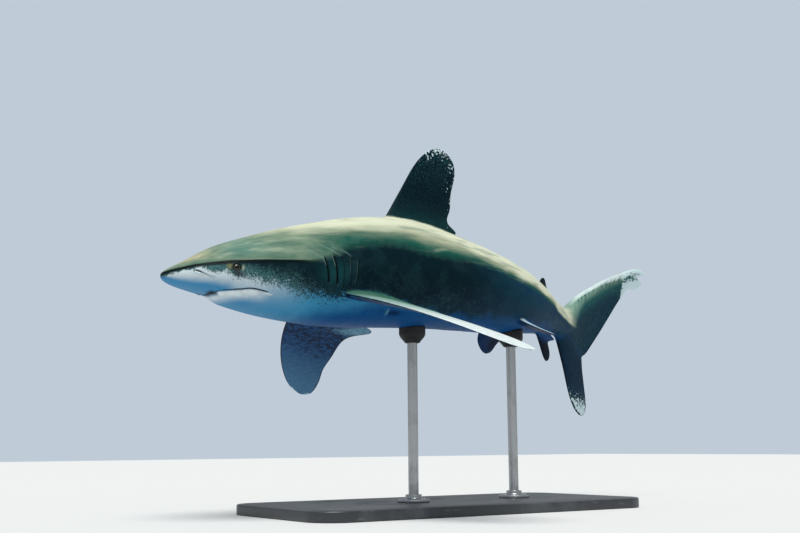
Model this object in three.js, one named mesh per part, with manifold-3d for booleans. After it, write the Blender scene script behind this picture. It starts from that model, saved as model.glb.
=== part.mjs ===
// A life-size oceanic whitetip shark on a display stand, swimming with its rear body bent to its right.
// Millimetres, +Z up, +X from head to tail, +Y the shark's right side.
// The origin is the middle of the underside of the stand's base.
import * as THREE from "three";
import { mergeVertices } from "three/addons/utils/BufferGeometryUtils.js";
import Module from "manifold-3d";

const wasm = await Module();
wasm.setup();

// ---------- driving dimensions ----------

const totalLength = 2200; // snout tip to tail tip, along the spine
const bodyEnd = 1606; // where the tail stock ends and the upper caudal lobe begins
const gap = 0.3; // clear space between neighbouring pieces
const pointsAround = 26; // points round each body ring

// Where the spine passes the fixed place below the first dorsal fin.
const spineAnchor = { along: 770, x: -150, y: -20, z: 680 };

// Turns of the spine in degrees, at distances along it: yaw to the right, pitch down to the rear.
const spineTurns = {
  along: [0, 440, 770, 1100, 1364, 1628, 2200],
  yaw: [-5.9, -1.7, 0, 7.7, 23.7, 19.7, 13.1],
  pitch: [-4.1, -2.4, 0, 3.2, 6.4, 8.1, 9.5],
};
// Roll of the body about its spine, in degrees.
const spineRoll = { along: [0, 770, 1364, 2200], roll: [2.2, 0, -6.5, 12.1] };

// Distance from the snout tip, half width, height above the spine line and depth below it.
const bodyProfile = [
  [0, 0, 0, 0], // snout tip
  [33, 60.5, 25, 26],
  [77, 92, 46, 39.5], // nostrils
  [143, 119, 78, 59], // front of the mouth
  [220, 134.5, 102, 86],
  [330, 146, 132, 119], // cheeks
  [462, 152.5, 161, 139], // gills
  [682, 157, 191.5, 139], // front of the first dorsal fin
  [924, 143.5, 170.5, 131],
  [1100, 121, 137, 124.5], // front of the pelvic fins
  [1364, 76, 89.5, 87], // front of the anal fin
  [1518, 49, 61.5, 59.5],
  [bodyEnd, 38, 50.5, 48],
];

// Fullness of the upper and lower halves of a section: 2 is an ellipse, more is boxier.
const fullness = {
  along: [0, 110, 264, 484, 880, 1320, bodyEnd],
  upper: [2.0, 1.95, 1.9, 1.85, 1.8, 1.85, 2.0],
  lower: [2.2, 2.6, 2.4, 2.25, 2.2, 2.1, 2.0],
};

// The closed mouth: its line in side view, the curve of its front seen from below,
// and the step down from the snout to the lower jaw.
const mouth = {
  front: 126,
  corner: 258,
  line: [
    [126, -46],
    [160, -44.5],
    [216, -45],
    [238, -51],
    [258, -56],
  ],
  bow: { halfWidth: 80, setBack: 12, most: 36, fade: 70 }, // how far the front sweeps back at the sides
  jawBack: 300,
  jawStep: 10,
  stepFront: 136,
  stepLength: 44,
  stepFade: 220,
};

// A part of the head ahead of the gills, then the trunk in lengths, then the tail stock.
const bodyCuts = [
  { name: "head", from: 0, to: 470, step: 26 },
  { name: "trunk_front", from: 470, to: 690, step: 44 },
  { name: "trunk_middle", from: 690, to: 1090, step: 44 },
  { name: "trunk_rear", from: 1090, to: 1360, step: 39 },
  { name: "tail_stock", from: 1360, to: bodyEnd, step: 35 },
];
const snout = { length: 125, rings: 9 };
const jawSpace = { side: 160, below: -220, steps: 12 }; // past the sides and the underside of the head

const eye = {
  along: 166,
  up: 10,
  radius: 15,
  depth: 13.4, // of the ball's middle below the skin
  opening: { along: 10.5, up: 9.5, depth: 4 },
};

// Fin outlines: rearward and outward from the front of the base. Negative outward lies inside the body.
const firstDorsal = {
  name: "dorsal_fin_first",
  along: 701,
  base: 178,
  leading: [
    [-14, -45],
    [1, 15],
    [51, 108],
    [98, 186],
    [136, 231],
    [170, 256],
  ],
  apex: [204, 265],
  trailing: [
    [238, 254],
    [263, 222],
    [263, 180],
    [245, 109],
    [239, 64],
    [241, 18],
    [262, -2],
    [222, -22],
    [205, -45],
  ],
  rootThickness: 32,
  tipThickness: 5,
};
const secondDorsal = {
  name: "dorsal_fin_second",
  along: 1408,
  base: 72,
  leading: [
    [-6, -25],
    [2, 8],
    [26, 38],
    [46, 57],
  ],
  apex: [64, 62],
  trailing: [
    [74, 52],
    [78, 37],
    [90, 23],
    [117, 12],
    [130, 5],
    [106, -3],
    [80, -12],
    [70, -25],
  ],
  rootThickness: 14,
  tipThickness: 3,
};
const analFin = {
  name: "anal_fin",
  along: 1370,
  base: -76,
  leading: [
    [-8, -30],
    [3, 6],
    [24, 50],
    [42, 80],
  ],
  apex: [66, 93],
  trailing: [
    [90, 84],
    [104, 58],
    [97, 34],
    [112, 14],
    [149, -3],
    [120, -9],
    [92, -15],
    [80, -30],
  ],
  rootThickness: 15,
  tipThickness: 3,
};
const pectoralFin = {
  name: "pectoral_fin",
  along: 476,
  up: -58,
  leading: [
    [-4, -32],
    [0, 0],
    [26, 142],
    [57, 242],
    [100, 342],
    [144, 420],
    [198, 492],
    [240, 525],
  ],
  apex: [272, 533],
  trailing: [
    [299, 515],
    [301, 482],
    [283, 399],
    [266, 344],
    [251, 249],
    [237, 174],
    [236, 128],
    [249, 96],
    [277, 64],
    [285, 38],
    [240, 20],
    [156, 5],
    [134, -8],
    [122, -32],
  ],
  rootThickness: 22,
  tipThickness: 3.2,
  length: 559,
};
const pelvicFin = {
  name: "pelvic_fin",
  along: 1147,
  up: -90,
  leading: [
    [-6, -30],
    [0, 0],
    [16, 44],
    [46, 72],
    [70, 86],
  ],
  apex: [92, 92],
  trailing: [
    [110, 84],
    [115, 61],
    [120, 39],
    [134, 18],
    [134, 5],
    [116, -6],
    [96, -16],
    [84, -30],
  ],
  rootThickness: 17,
  tipThickness: 3.5,
  length: 122,
};
// How each paired fin is held, in degrees: swept back, drooping, rear edge down, then the further
// rear edge down and further droop over the fin's length, the root's rear edge up, and the last
// part's own rear edge down and droop.
const pairedFinPoses = [
  {
    fin: pectoralFin,
    side: "left",
    sweep: -4.25,
    droop: 12.8,
    incidence: 8.2,
    twist: 4.8,
    curve: 6.6,
    rootTilt: 6.3,
    tipTwist: -5.8,
    tipCurve: 3.3,
  },
  {
    fin: pectoralFin,
    side: "right",
    sweep: 1,
    droop: 20.8,
    incidence: 14.7,
    twist: 3.8,
    curve: 4.3,
    rootTilt: 0,
    tipTwist: 0,
    tipCurve: 0,
  },
  {
    fin: pelvicFin,
    side: "left",
    sweep: -10.3,
    droop: 27.2,
    incidence: 12.4,
    twist: -6,
    curve: -7.7,
    rootTilt: 0,
    tipTwist: 0,
    tipCurve: 0,
  },
  {
    fin: pelvicFin,
    side: "right",
    sweep: 2,
    droop: 44,
    incidence: 0,
    twist: 0,
    curve: 0,
    rootTilt: 0,
    tipTwist: 0,
    tipCurve: 0,
  },
];
const rootReach = 14; // how far out the tilt of a fin's root fades

// The caudal fin in the tail's own plane: rearward of the tail stock, and up from the spine line.
const upperLobe = {
  name: "caudal_fin_upper",
  top: [
    [0, 50.5],
    [40, 82],
    [89, 120],
    [184, 180],
    [271, 234],
    [353, 279],
    [431, 317],
    [466, 322],
    [487, 316],
  ],
  bottom: [
    [0, -48],
    [70, -72],
    [141, -90],
    [207, -36],
    [285, 58],
    [349, 152],
    [411, 229],
    [440, 237],
    [474, 248],
    [487, 268],
  ],
  rootThickness: 76,
  tipThickness: 6,
};
const lowerLobe = {
  name: "caudal_fin_lower",
  base: -48,
  leading: [
    [-66, -40],
    [-58, 20],
    [-18, 106],
    [20, 184],
    [66, 234],
    [104, 252],
  ],
  apex: [142, 257],
  trailing: [
    [172, 248],
    [187, 222],
    [178, 184],
    [153, 114],
    [141, 60],
    [139, 42],
    [96, -8],
    [60, -40],
  ],
  rootThickness: 30,
  tipThickness: 5,
};
const chordSteps = 6; // points from front to rear edge on each face of a fin
const edgeThickness = 1.2; // thinnest rear edge of a fin
const spanEase = 1.45; // above 1 brings the rings closer together near the root

const stand = {
  base: { length: 1180, width: 560, height: 30, corner: 90, bevel: 5 },
  rodRadius: 15,
  rods: [
    { name: "front", along: 792 },
    { name: "rear", along: 1200 },
  ],
  collar: { radius: 48, height: 22, neck: 24 },
  cup: { radius: 40, depth: 34, rim: 7 },
};

// ---------- small helpers ----------

const radians = THREE.MathUtils.degToRad;
const smooth = (x) => THREE.MathUtils.smoothstep(x, 0, 1);

// A natural cubic spline through the points xs, ys.
function spline(xs, ys) {
  const last = xs.length - 1;
  const bends = new Array(last + 1).fill(0);
  const carried = new Array(last + 1).fill(0);
  for (let i = 1; i < last; i++) {
    const before = xs[i] - xs[i - 1];
    const after = xs[i + 1] - xs[i];
    const ratio = before / (before + after);
    const pivot = ratio * bends[i - 1] + 2;
    bends[i] = (ratio - 1) / pivot;
    const slopeChange = (ys[i + 1] - ys[i]) / after - (ys[i] - ys[i - 1]) / before;
    carried[i] = ((6 * slopeChange) / (before + after) - ratio * carried[i - 1]) / pivot;
  }
  bends[last] = 0;
  for (let i = last - 1; i >= 0; i--) bends[i] = bends[i] * bends[i + 1] + carried[i];
  return (x) => {
    const at = THREE.MathUtils.clamp(x, xs[0], xs[last]);
    let i = 0;
    while (i < last - 1 && at > xs[i + 1]) i++;
    const width = xs[i + 1] - xs[i];
    const a = (xs[i + 1] - at) / width;
    const b = 1 - a;
    const bend = (a ** 3 - a) * bends[i] + (b ** 3 - b) * bends[i + 1];
    return a * ys[i] + b * ys[i + 1] + (bend * width ** 2) / 6;
  };
}

// Evenly spread numbers from first to last, ends included, about one step apart.
function spread(first, last, step) {
  const count = Math.max(1, Math.round((last - first) / step));
  return Array.from({ length: count + 1 }, (_, i) => first + ((last - first) * i) / count);
}

// A closed solid through rings of points, fanned shut at both ends.
function loft(rings, firstPoint, lastPoint) {
  const around = rings[0].length;
  const centre = (ring) => ring.reduce((sum, p) => sum.add(p), new THREE.Vector3()).divideScalar(around);
  const points = rings.flat();
  const first = points.push(firstPoint ?? centre(rings[0])) - 1;
  const last = points.push(lastPoint ?? centre(rings.at(-1))) - 1;
  const faces = [];
  for (let j = 0; j < around; j++) {
    const next = (j + 1) % around;
    const end = (rings.length - 1) * around;
    faces.push(first, next, j, last, end + j, end + next);
    for (let row = 0; row < end; row += around) {
      faces.push(row + j, row + next, row + around + next);
      faces.push(row + j, row + around + next, row + around + j);
    }
  }
  return solidFrom(points.flatMap((p) => [p.x, p.y, p.z]), faces);
}

// A manifold solid from corner numbers and faces, turned to face outwards.
function solidFrom(numbers, faces) {
  const geometry = new THREE.BufferGeometry();
  geometry.setAttribute("position", new THREE.Float32BufferAttribute(numbers, 3));
  geometry.setIndex(faces);
  const merged = mergeVertices(geometry, 1e-3);
  const triVerts = new Uint32Array(merged.index.array);
  const make = () =>
    new wasm.Manifold(
      new wasm.Mesh({ numProp: 3, vertProperties: merged.attributes.position.array, triVerts }),
    );
  const solid = make();
  if (solid.volume() > 0) return solid;
  for (let i = 0; i < triVerts.length; i += 3)
    [triVerts[i + 1], triVerts[i + 2]] = [triVerts[i + 2], triVerts[i + 1]];
  return make();
}

function solidOfGeometry(geometry) {
  const bare = geometry.clone();
  bare.deleteAttribute("normal");
  bare.deleteAttribute("uv");
  const merged = mergeVertices(bare, 1e-3);
  return solidFrom([...merged.attributes.position.array], [...merged.index.array]);
}

function geometryOf(solid) {
  const mesh = solid.getMesh();
  const geometry = new THREE.BufferGeometry();
  geometry.setAttribute("position", new THREE.BufferAttribute(mesh.vertProperties, 3));
  geometry.setIndex(new THREE.BufferAttribute(mesh.triVerts, 1));
  const flat = geometry.toNonIndexed();
  flat.computeVertexNormals();
  return flat;
}

// ---------- the bent spine ----------

const yawAt = spline(spineTurns.along, spineTurns.yaw.map(radians));
const pitchAt = spline(spineTurns.along, spineTurns.pitch.map(radians));
const rollAt = spline(spineRoll.along, spineRoll.roll.map(radians));

// The directions rearward, rightward and upward at a distance along the spine.
function spineFrame(along) {
  const turn = new THREE.Euler(rollAt(along), pitchAt(along), yawAt(along), "ZYX");
  const matrix = new THREE.Matrix4().makeRotationFromEuler(turn);
  const rear = new THREE.Vector3();
  const right = new THREE.Vector3();
  const up = new THREE.Vector3();
  matrix.extractBasis(rear, right, up);
  return { rear, right, up };
}

const spineStep = 5.5;
const spineLine = [new THREE.Vector3()];
for (let along = spineStep / 2; along < totalLength; along += spineStep)
  spineLine.push(spineLine.at(-1).clone().addScaledVector(spineFrame(along).rear, spineStep));
const spineShift = new THREE.Vector3(spineAnchor.x, spineAnchor.y, spineAnchor.z).sub(
  spineLine[Math.round(spineAnchor.along / spineStep)],
);

function spinePoint(along) {
  const place = THREE.MathUtils.clamp(along / spineStep, 0, spineLine.length - 1.001);
  const i = Math.floor(place);
  return spineLine[i].clone().lerp(spineLine[i + 1], place - i).add(spineShift);
}

// A point of the straight body, moved to where the bent body has it.
function bodyPoint(along, across, up) {
  const frame = spineFrame(along);
  return spinePoint(along).addScaledVector(frame.right, across).addScaledVector(frame.up, up);
}

// ---------- body sections ----------

// Splines run over the root of the distance, which rounds the snout.
const rootAlong = bodyProfile.map((row) => Math.sqrt(row[0]));
const profileSpline = (column) => spline(rootAlong, bodyProfile.map((row) => row[column]));
const [widthSpline, topSpline, bottomSpline] = [1, 2, 3].map(profileSpline);
const upperFullness = spline(fullness.along, fullness.upper);
const lowerFullness = spline(fullness.along, fullness.lower);

function jawDrop(along) {
  const past = along - mouth.stepFront;
  const rise = smooth(past / mouth.stepLength);
  return mouth.jawStep * rise * (1 - smooth((past - mouth.stepLength) / mouth.stepFade));
}

function bodySizes(along) {
  const root = Math.sqrt(Math.min(Math.max(along, 0), bodyEnd));
  return {
    half: widthSpline(root),
    top: topSpline(root),
    bottom: bottomSpline(root) + jawDrop(along),
    upper: upperFullness(along),
    lower: lowerFullness(along),
  };
}

// Half the body's width at a height above the spine line.
function halfWidthAt(along, up) {
  const size = bodySizes(along);
  const power = up > 0 ? size.upper : size.lower;
  const reach = Math.abs(up) / (up > 0 ? size.top : size.bottom);
  return size.half * Math.max(1 - reach ** power, 0) ** (1 / power);
}

const signedPower = (x, power) => Math.sign(x) * Math.abs(x) ** power;

function bodyRing(along, grow) {
  const size = bodySizes(along);
  return Array.from({ length: pointsAround }, (_, i) => {
    const angle = (2 * Math.PI * i) / pointsAround;
    const isUpper = Math.sin(angle) > 0;
    const power = 2 / (isUpper ? size.upper : size.lower);
    const height = (isUpper ? size.top : size.bottom) + grow;
    const across = (size.half + grow) * signedPower(Math.cos(angle), power);
    return bodyPoint(along, across, height * signedPower(Math.sin(angle), power));
  });
}

// Ring places of a length of the body: closer together over the round snout and the front of the mouth.
function ringPlaces({ from, to, step }) {
  if (from > 0) return spread(from, to, step);
  const nose = Array.from({ length: snout.rings }, (_, i) => snout.length * ((i + 1) / snout.rings) ** 2);
  const jaw = spread(snout.length, snout.length + mouth.stepLength, 11).slice(1);
  return [0.1, ...nose, ...jaw, ...spread(jaw.at(-1), to, step).slice(1)];
}

function bodyLength(cut) {
  const places = ringPlaces(cut);
  places[places.length - 1] -= cut.to < bodyEnd ? gap : 0;
  const tip = cut.from > 0 ? undefined : bodyPoint(0, 0, 0);
  return loft(places.map((along) => bodyRing(along, 0)), tip);
}

// The whole body, a gap larger all round, which the fins are cut by.
function grownBody() {
  const places = bodyCuts.flatMap((cut) => ringPlaces(cut).slice(0, -1));
  return loft([...places, bodyEnd + gap].map((along) => bodyRing(along, gap)));
}

// A prism across the head below the mouth line, from the mouth's front to the back of the jaw.
function jawPrism(grow) {
  const line = mouth.line.map(([along, up]) => [along, up + grow]);
  line[0][0] -= grow;
  const { halfWidth, setBack, most, fade } = mouth.bow;
  const bowed = (along, across) =>
    along + Math.min(setBack * (across / halfWidth) ** 4, most) * (1 - smooth((along - mouth.front) / fade));
  const outline = [...line, [mouth.jawBack + grow, jawSpace.below], [mouth.front - grow, jawSpace.below]];
  const shape = new THREE.Shape(outline.map(([along, up]) => new THREE.Vector2(along, up)));
  const { side, steps } = jawSpace;
  const prism = new THREE.ExtrudeGeometry(shape, { depth: 2 * side, steps, bevelEnabled: false });
  const corners = prism.attributes.position;
  for (let i = 0; i < corners.count; i++) {
    const across = corners.getZ(i) - side;
    const bent = bodyPoint(bowed(corners.getX(i), across), across, corners.getY(i));
    corners.setXYZ(i, bent.x, bent.y, bent.z);
  }
  return solidOfGeometry(prism);
}

function eyeCentre(side) {
  const across = side * (halfWidthAt(eye.along, eye.up) - eye.depth);
  return bodyPoint(eye.along, across, eye.up);
}

function eyeBall(side, grow) {
  const ball = new THREE.SphereGeometry(eye.radius + grow, 12, 9);
  const centre = eyeCentre(side);
  return solidOfGeometry(ball.translate(centre.x, centre.y, centre.z));
}

// The shallow oval opening of the lids, round the front of the eyeball.
function lidOpening(side) {
  const { along, up, depth } = eye.opening;
  const oval = new THREE.SphereGeometry(1, 14, 6).scale(along, depth, up);
  const place = bodyPoint(eye.along, side * halfWidthAt(eye.along, eye.up), eye.up);
  return solidOfGeometry(oval.translate(place.x, place.y, place.z));
}

// ---------- fins ----------

// One edge of a fin as a function of the angle whose sine is the share of the fin's height.
function edgeCurve(points, apex) {
  const rising = points.toSorted((a, b) => a[1] - b[1]);
  const angle = (outward) => Math.asin(THREE.MathUtils.clamp(outward / apex[1], -1, 1));
  const angles = [...rising.map((p) => angle(p[1])), Math.PI / 2];
  return { angles, rearward: spline(angles, [...rising.map((p) => p[0]), apex[0]]) };
}

// The thickness of a fin from its front edge, 0, to its rear edge, 1.
const bladeProfile = (share) => 2.6 * Math.sqrt(share) * (1 - share);

// A ring round a blade: both faces from the front edge to the rear edge and back.
function bladeRing(front, rear, thickness, place) {
  const half = (share) => (thickness * bladeProfile(share) + edgeThickness * share) / 2;
  const point = (share, side) => place(front + (rear - front) * share, side * half(share));
  const shares = Array.from({ length: chordSteps }, (_, i) => ((i + 1) / chordSteps) ** 1.5);
  const oneFace = shares.map((share) => point(share, 1));
  const otherFace = shares.map((share) => point(share, -1)).reverse();
  return [point(0, 0), ...oneFace, ...otherFace];
}

// A fin as rings from inside the body out to its tip. place(rearward, outward, sideways) gives a point.
function finBlade(fin, place, spanStep) {
  const leading = edgeCurve(fin.leading, fin.apex);
  const trailing = edgeCurve(fin.trailing, fin.apex);
  const height = fin.apex[1];
  const start = Math.max(leading.angles[0], trailing.angles[0]);
  const almostTip = Math.PI / 2 - 0.05;
  const shares = spread(0, 1, spanStep / (almostTip - start));
  const rings = shares.map((part) => {
    const angle = THREE.MathUtils.lerp(start, almostTip, part ** spanEase);
    const outward = height * Math.sin(angle);
    const share = THREE.MathUtils.clamp(outward / height, 0, 1);
    const thickness = THREE.MathUtils.lerp(fin.rootThickness, fin.tipThickness, share ** 0.7);
    return bladeRing(leading.rearward(angle), trailing.rearward(angle), thickness, (rearward, sideways) =>
      place(rearward, outward, sideways),
    );
  });
  return loft(rings, undefined, place(fin.apex[0], height, 0));
}

// A fin on the body's middle plane. direction is 1 for a fin on the back, -1 for one below.
function medianFin(fin, direction, spanStep) {
  const place = (rearward, outward, sideways) =>
    bodyPoint(fin.along + rearward, sideways, fin.base + direction * outward);
  return finBlade(fin, place, spanStep);
}

// A pectoral or pelvic fin, held out from the side of the body.
function pairedFin(pose, spanStep) {
  const { fin, side, sweep, droop, incidence, twist, curve, rootTilt, tipTwist, tipCurve } = pose;
  const outwardSign = side === "right" ? 1 : -1;
  const frame = spineFrame(fin.along);
  const root = bodyPoint(fin.along, outwardSign * halfWidthAt(fin.along, fin.up), fin.up);
  const outside = frame.right.clone().multiplyScalar(outwardSign);
  const tilted = (first, second, angle) =>
    first.clone().multiplyScalar(Math.cos(angle)).addScaledVector(second, -Math.sin(angle));
  const place = (rearward, outward, sideways) => {
    const share = outward / fin.length;
    const fade = Math.exp(-((Math.max(outward, 0) / rootReach) ** 2));
    const atTip = Math.max(share, 0) ** 3;
    const chordTilt = incidence + twist * share + tipTwist * atTip - rootTilt * fade;
    const spanTilt = droop + curve * (share / 2 - 0.5) + tipCurve * atTip;
    const chord = tilted(frame.rear, frame.up, radians(chordTilt));
    const span = tilted(outside, frame.up, radians(spanTilt));
    const normal = new THREE.Vector3().crossVectors(span, chord).normalize();
    const swept = rearward * Math.cos(radians(sweep)) + outward * Math.sin(radians(sweep));
    return root
      .clone()
      .addScaledVector(chord, swept)
      .addScaledVector(span, outward * Math.cos(radians(sweep)))
      .addScaledVector(normal, sideways);
  };
  return finBlade(fin, place, spanStep);
}

// The upper caudal lobe, whose front section matches the end of the tail stock.
function caudalUpper(grow) {
  const columns = (points, index) => points.map((p) => p[index]);
  const topAt = spline(columns(upperLobe.top, 0), columns(upperLobe.top, 1));
  const bottomAt = spline(columns(upperLobe.bottom, 0), columns(upperLobe.bottom, 1));
  const length = upperLobe.top.at(-1)[0];
  const rings = spread(0, 1, 0.066).map((share) => {
    const rearward = gap - grow + (length - gap) * Math.sin((share * Math.PI) / 2) ** 1.15;
    const top = topAt(rearward) + grow;
    const bottom = bottomAt(rearward) - grow;
    const flatness = smooth(rearward / 170);
    const thinning = (1 - rearward / (length + 60)) ** 2;
    const thickness = upperLobe.tipThickness + (upperLobe.rootThickness - upperLobe.tipThickness) * thinning;
    const keel = THREE.MathUtils.lerp(0.5, 0.3, flatness);
    return tailRing(rearward, top, bottom, thickness / 2 + grow, keel, flatness);
  });
  return loft(rings);
}

// A tail section: thickest at the keel, a share of the way down, and flattened to a blade below it.
function tailRing(rearward, top, bottom, half, keel, flatness) {
  const steps = 10;
  const side = (sign) =>
    Array.from({ length: steps - 1 }, (_, i) => {
      const share = (1 - Math.cos((Math.PI * (i + 1)) / steps)) / 2;
      const fromKeel = share < keel ? (keel - share) / keel : (share - keel) / (1 - keel);
      const round = Math.sqrt(Math.max(1 - fromKeel ** 2, 0));
      const blade = (1 - fromKeel) ** 1.3;
      const bulge = THREE.MathUtils.lerp(round, share < keel ? round : blade, flatness);
      const across = Math.max(half * bulge, edgeThickness / 2);
      return bodyPoint(bodyEnd + rearward, sign * across, top + (bottom - top) * share);
    });
  const end = (up) => bodyPoint(bodyEnd + rearward, 0, up);
  return [end(top), ...side(1), end(bottom), ...side(-1).reverse()];
}

// ---------- stand ----------

function standBase() {
  const { length, width, height, corner, bevel } = stand.base;
  const halfLength = length / 2 - bevel;
  const halfWidth = width / 2 - bevel;
  const outline = new THREE.Shape();
  outline.moveTo(corner - halfLength, -halfWidth);
  outline.absarc(halfLength - corner, corner - halfWidth, corner, -Math.PI / 2, 0);
  outline.absarc(halfLength - corner, halfWidth - corner, corner, 0, Math.PI / 2);
  outline.absarc(corner - halfLength, halfWidth - corner, corner, Math.PI / 2, Math.PI);
  outline.absarc(corner - halfLength, corner - halfWidth, corner, Math.PI, Math.PI * 1.5);
  const plate = new THREE.ExtrudeGeometry(outline, {
    depth: height - 2 * bevel,
    bevelSize: bevel,
    bevelThickness: bevel,
    bevelSegments: 1,
    curveSegments: 4,
  });
  return solidOfGeometry(plate.translate(0, 0, bevel));
}

function lathe(profile, centre) {
  const points = profile.map(([radius, up]) => new THREE.Vector2(radius, up));
  const turned = new THREE.LatheGeometry(points, 18).rotateX(Math.PI / 2);
  return solidOfGeometry(turned.translate(centre.x, centre.y, 0));
}

// The rod, its collar on the base and its cup under the belly, all on one upright axis.
function standSupport({ name, along }, body) {
  const size = bodySizes(along);
  const belly = bodyPoint(along, 0, -size.bottom);
  const floor = stand.base.height + gap;
  const { collar, cup, rodRadius } = stand;
  const rodTop = belly.z - 12;
  const rodPart = lathe([[0, floor], [rodRadius, floor], [rodRadius, rodTop], [0, rodTop]], belly);
  const inside = rodRadius + gap;
  const collarTop = floor + collar.height;
  const collarPart = lathe(
    [
      [inside, floor],
      [collar.radius, floor],
      [collar.radius, floor + 8],
      [collar.neck, floor + 12],
      [collar.neck, collarTop],
      [inside, collarTop],
      [inside, floor],
    ],
    belly,
  );
  const cupBottom = rodTop - cup.depth;
  const cupTop = belly.z + 30;
  const cupPart = lathe(
    [
      [inside, cupBottom],
      [inside + cup.rim, cupBottom],
      [cup.radius, rodTop - 6],
      [cup.radius, cupTop],
      [0, cupTop],
      [0, rodTop + gap],
      [inside, rodTop + gap],
      [inside, cupBottom],
    ],
    belly,
  ).subtract(body);
  return [
    { name: `stand_rod_${name}`, solid: rodPart, look: "steel" },
    { name: `stand_collar_${name}`, solid: collarPart, look: "steel" },
    { name: `stand_cup_${name}`, solid: cupPart, look: "rubber" },
  ];
}

// ---------- the whole object ----------

function headPieces() {
  let head = bodyLength(bodyCuts[0]);
  for (const side of [-1, 1]) head = head.subtract(eyeBall(side, gap)).subtract(lidOpening(side));
  return [
    { name: "head", solid: head.subtract(jawPrism(gap)), look: "skin" },
    { name: "lower_jaw", solid: head.intersect(jawPrism(0)), look: "skin" },
    { name: "eye_left", solid: eyeBall(-1, 0), look: "eye" },
    { name: "eye_right", solid: eyeBall(1, 0), look: "eye" },
  ];
}

function finPieces(body) {
  const paired = pairedFinPoses.map((pose) => {
    const spanStep = pose.fin === pectoralFin ? 0.085 : 0.15;
    return { name: `${pose.fin.name}_${pose.side}`, solid: pairedFin(pose, spanStep) };
  });
  const upper = caudalUpper(0);
  const lower = medianFin({ ...lowerLobe, along: bodyEnd }, -1, 0.115).subtract(caudalUpper(gap));
  const median = [
    { name: firstDorsal.name, solid: medianFin(firstDorsal, 1, 0.115) },
    { name: secondDorsal.name, solid: medianFin(secondDorsal, 1, 0.16) },
    { name: analFin.name, solid: medianFin(analFin, -1, 0.15) },
    { name: lowerLobe.name, solid: lower },
  ];
  const cut = [...paired, ...median].map(({ name, solid }) => ({
    name,
    solid: largestPiece(solid.subtract(body)),
    look: "skin",
  }));
  return [...cut, { name: upperLobe.name, solid: upper, look: "skin" }];
}

// The largest body of a cut solid, without slivers left on the far side of the cut.
function largestPiece(solid) {
  return solid.decompose().reduce((best, piece) => (piece.volume() > best.volume() ? piece : best));
}

const looks = {
  skin: { color: 0x59605a, roughness: 0.42, metalness: 0 },
  eye: { color: 0x15130f, roughness: 0.08, metalness: 0 },
  steel: { color: 0xb9bcbd, roughness: 0.32, metalness: 1 },
  rubber: { color: 0x1b1c1e, roughness: 0.7, metalness: 0 },
  paint: { color: 0x2a2c2f, roughness: 0.5, metalness: 0 },
};

function addMesh(group, { name, solid, look }) {
  const mesh = new THREE.Mesh(geometryOf(solid), new THREE.MeshStandardMaterial(looks[look]));
  mesh.name = name;
  group.add(mesh);
}

const body = grownBody();
const shark = new THREE.Group();
const pieces = [
  ...headPieces(),
  ...bodyCuts.slice(1).map((cut) => ({ name: cut.name, solid: bodyLength(cut), look: "skin" })),
  ...finPieces(body),
  { name: "stand_base", solid: standBase(), look: "paint" },
  ...stand.rods.flatMap((rod) => standSupport(rod, body)),
];
pieces.forEach((piece) => addMesh(shark, piece));

export default shark;
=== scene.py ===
import math

import bmesh
import bpy
import numpy as np
from mathutils import Matrix, Vector
from mathutils.kdtree import KDTree


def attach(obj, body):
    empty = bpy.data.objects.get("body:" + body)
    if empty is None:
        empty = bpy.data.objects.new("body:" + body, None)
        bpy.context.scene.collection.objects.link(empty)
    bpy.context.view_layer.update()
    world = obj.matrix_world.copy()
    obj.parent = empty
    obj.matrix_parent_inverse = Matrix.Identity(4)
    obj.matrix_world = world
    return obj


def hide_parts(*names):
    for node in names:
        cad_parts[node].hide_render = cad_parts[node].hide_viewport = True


# Sizes are in millimetres, and become metres where a mesh is made.
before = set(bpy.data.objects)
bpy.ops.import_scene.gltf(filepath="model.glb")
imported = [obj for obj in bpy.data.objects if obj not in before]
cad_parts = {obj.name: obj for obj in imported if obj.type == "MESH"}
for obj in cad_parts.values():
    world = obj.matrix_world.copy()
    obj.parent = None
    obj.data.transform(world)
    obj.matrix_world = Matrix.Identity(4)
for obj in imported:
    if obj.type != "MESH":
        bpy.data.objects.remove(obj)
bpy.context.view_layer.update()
scene = bpy.context.scene
mm = 0.001
pi = math.pi


def smooth(x):
    x = np.clip(x, 0.0, 1.0)
    return x * x * (3 - 2 * x)


def ramp(x, start, end):  # 0 at start to 1 at end, eased
    return smooth((np.asarray(x, float) - start) / (end - start))


def fall(x, start, end):  # the other way, 1 to 0
    return 1 - ramp(x, start, end)


def bump(x, width):  # a bell, 1 at the middle
    return np.exp(-((x / width) ** 2))


def splineThrough(places, values):  # natural cubic spline, held at its ends
    xs, ys = np.array(places, float), np.array(values, float)
    gaps = np.diff(xs)
    last = len(xs) - 1
    rows, right = np.eye(last + 1), np.zeros(last + 1)
    for i in range(1, last):
        rows[i, i - 1 : i + 2] = gaps[i - 1], 2 * (gaps[i - 1] + gaps[i]), gaps[i]
        right[i] = 6 * ((ys[i + 1] - ys[i]) / gaps[i] - (ys[i] - ys[i - 1]) / gaps[i - 1])
    bends = np.linalg.solve(rows, right)

    def at(x):
        x = np.clip(np.asarray(x, float), xs[0], xs[-1])
        i = np.clip(np.searchsorted(xs, x) - 1, 0, last - 1)
        a = (xs[i + 1] - x) / gaps[i]
        b = 1 - a
        bend = (a**3 - a) * bends[i] + (b**3 - b) * bends[i + 1]
        return a * ys[i] + b * ys[i + 1] + bend * gaps[i] ** 2 / 6

    return at


def curveThrough(points):
    return splineThrough(*zip(*points))


def lineThrough(points):  # straight stretches between points, held at the ends
    xs, ys = zip(*points)
    return lambda x: np.interp(x, xs, ys)


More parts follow.
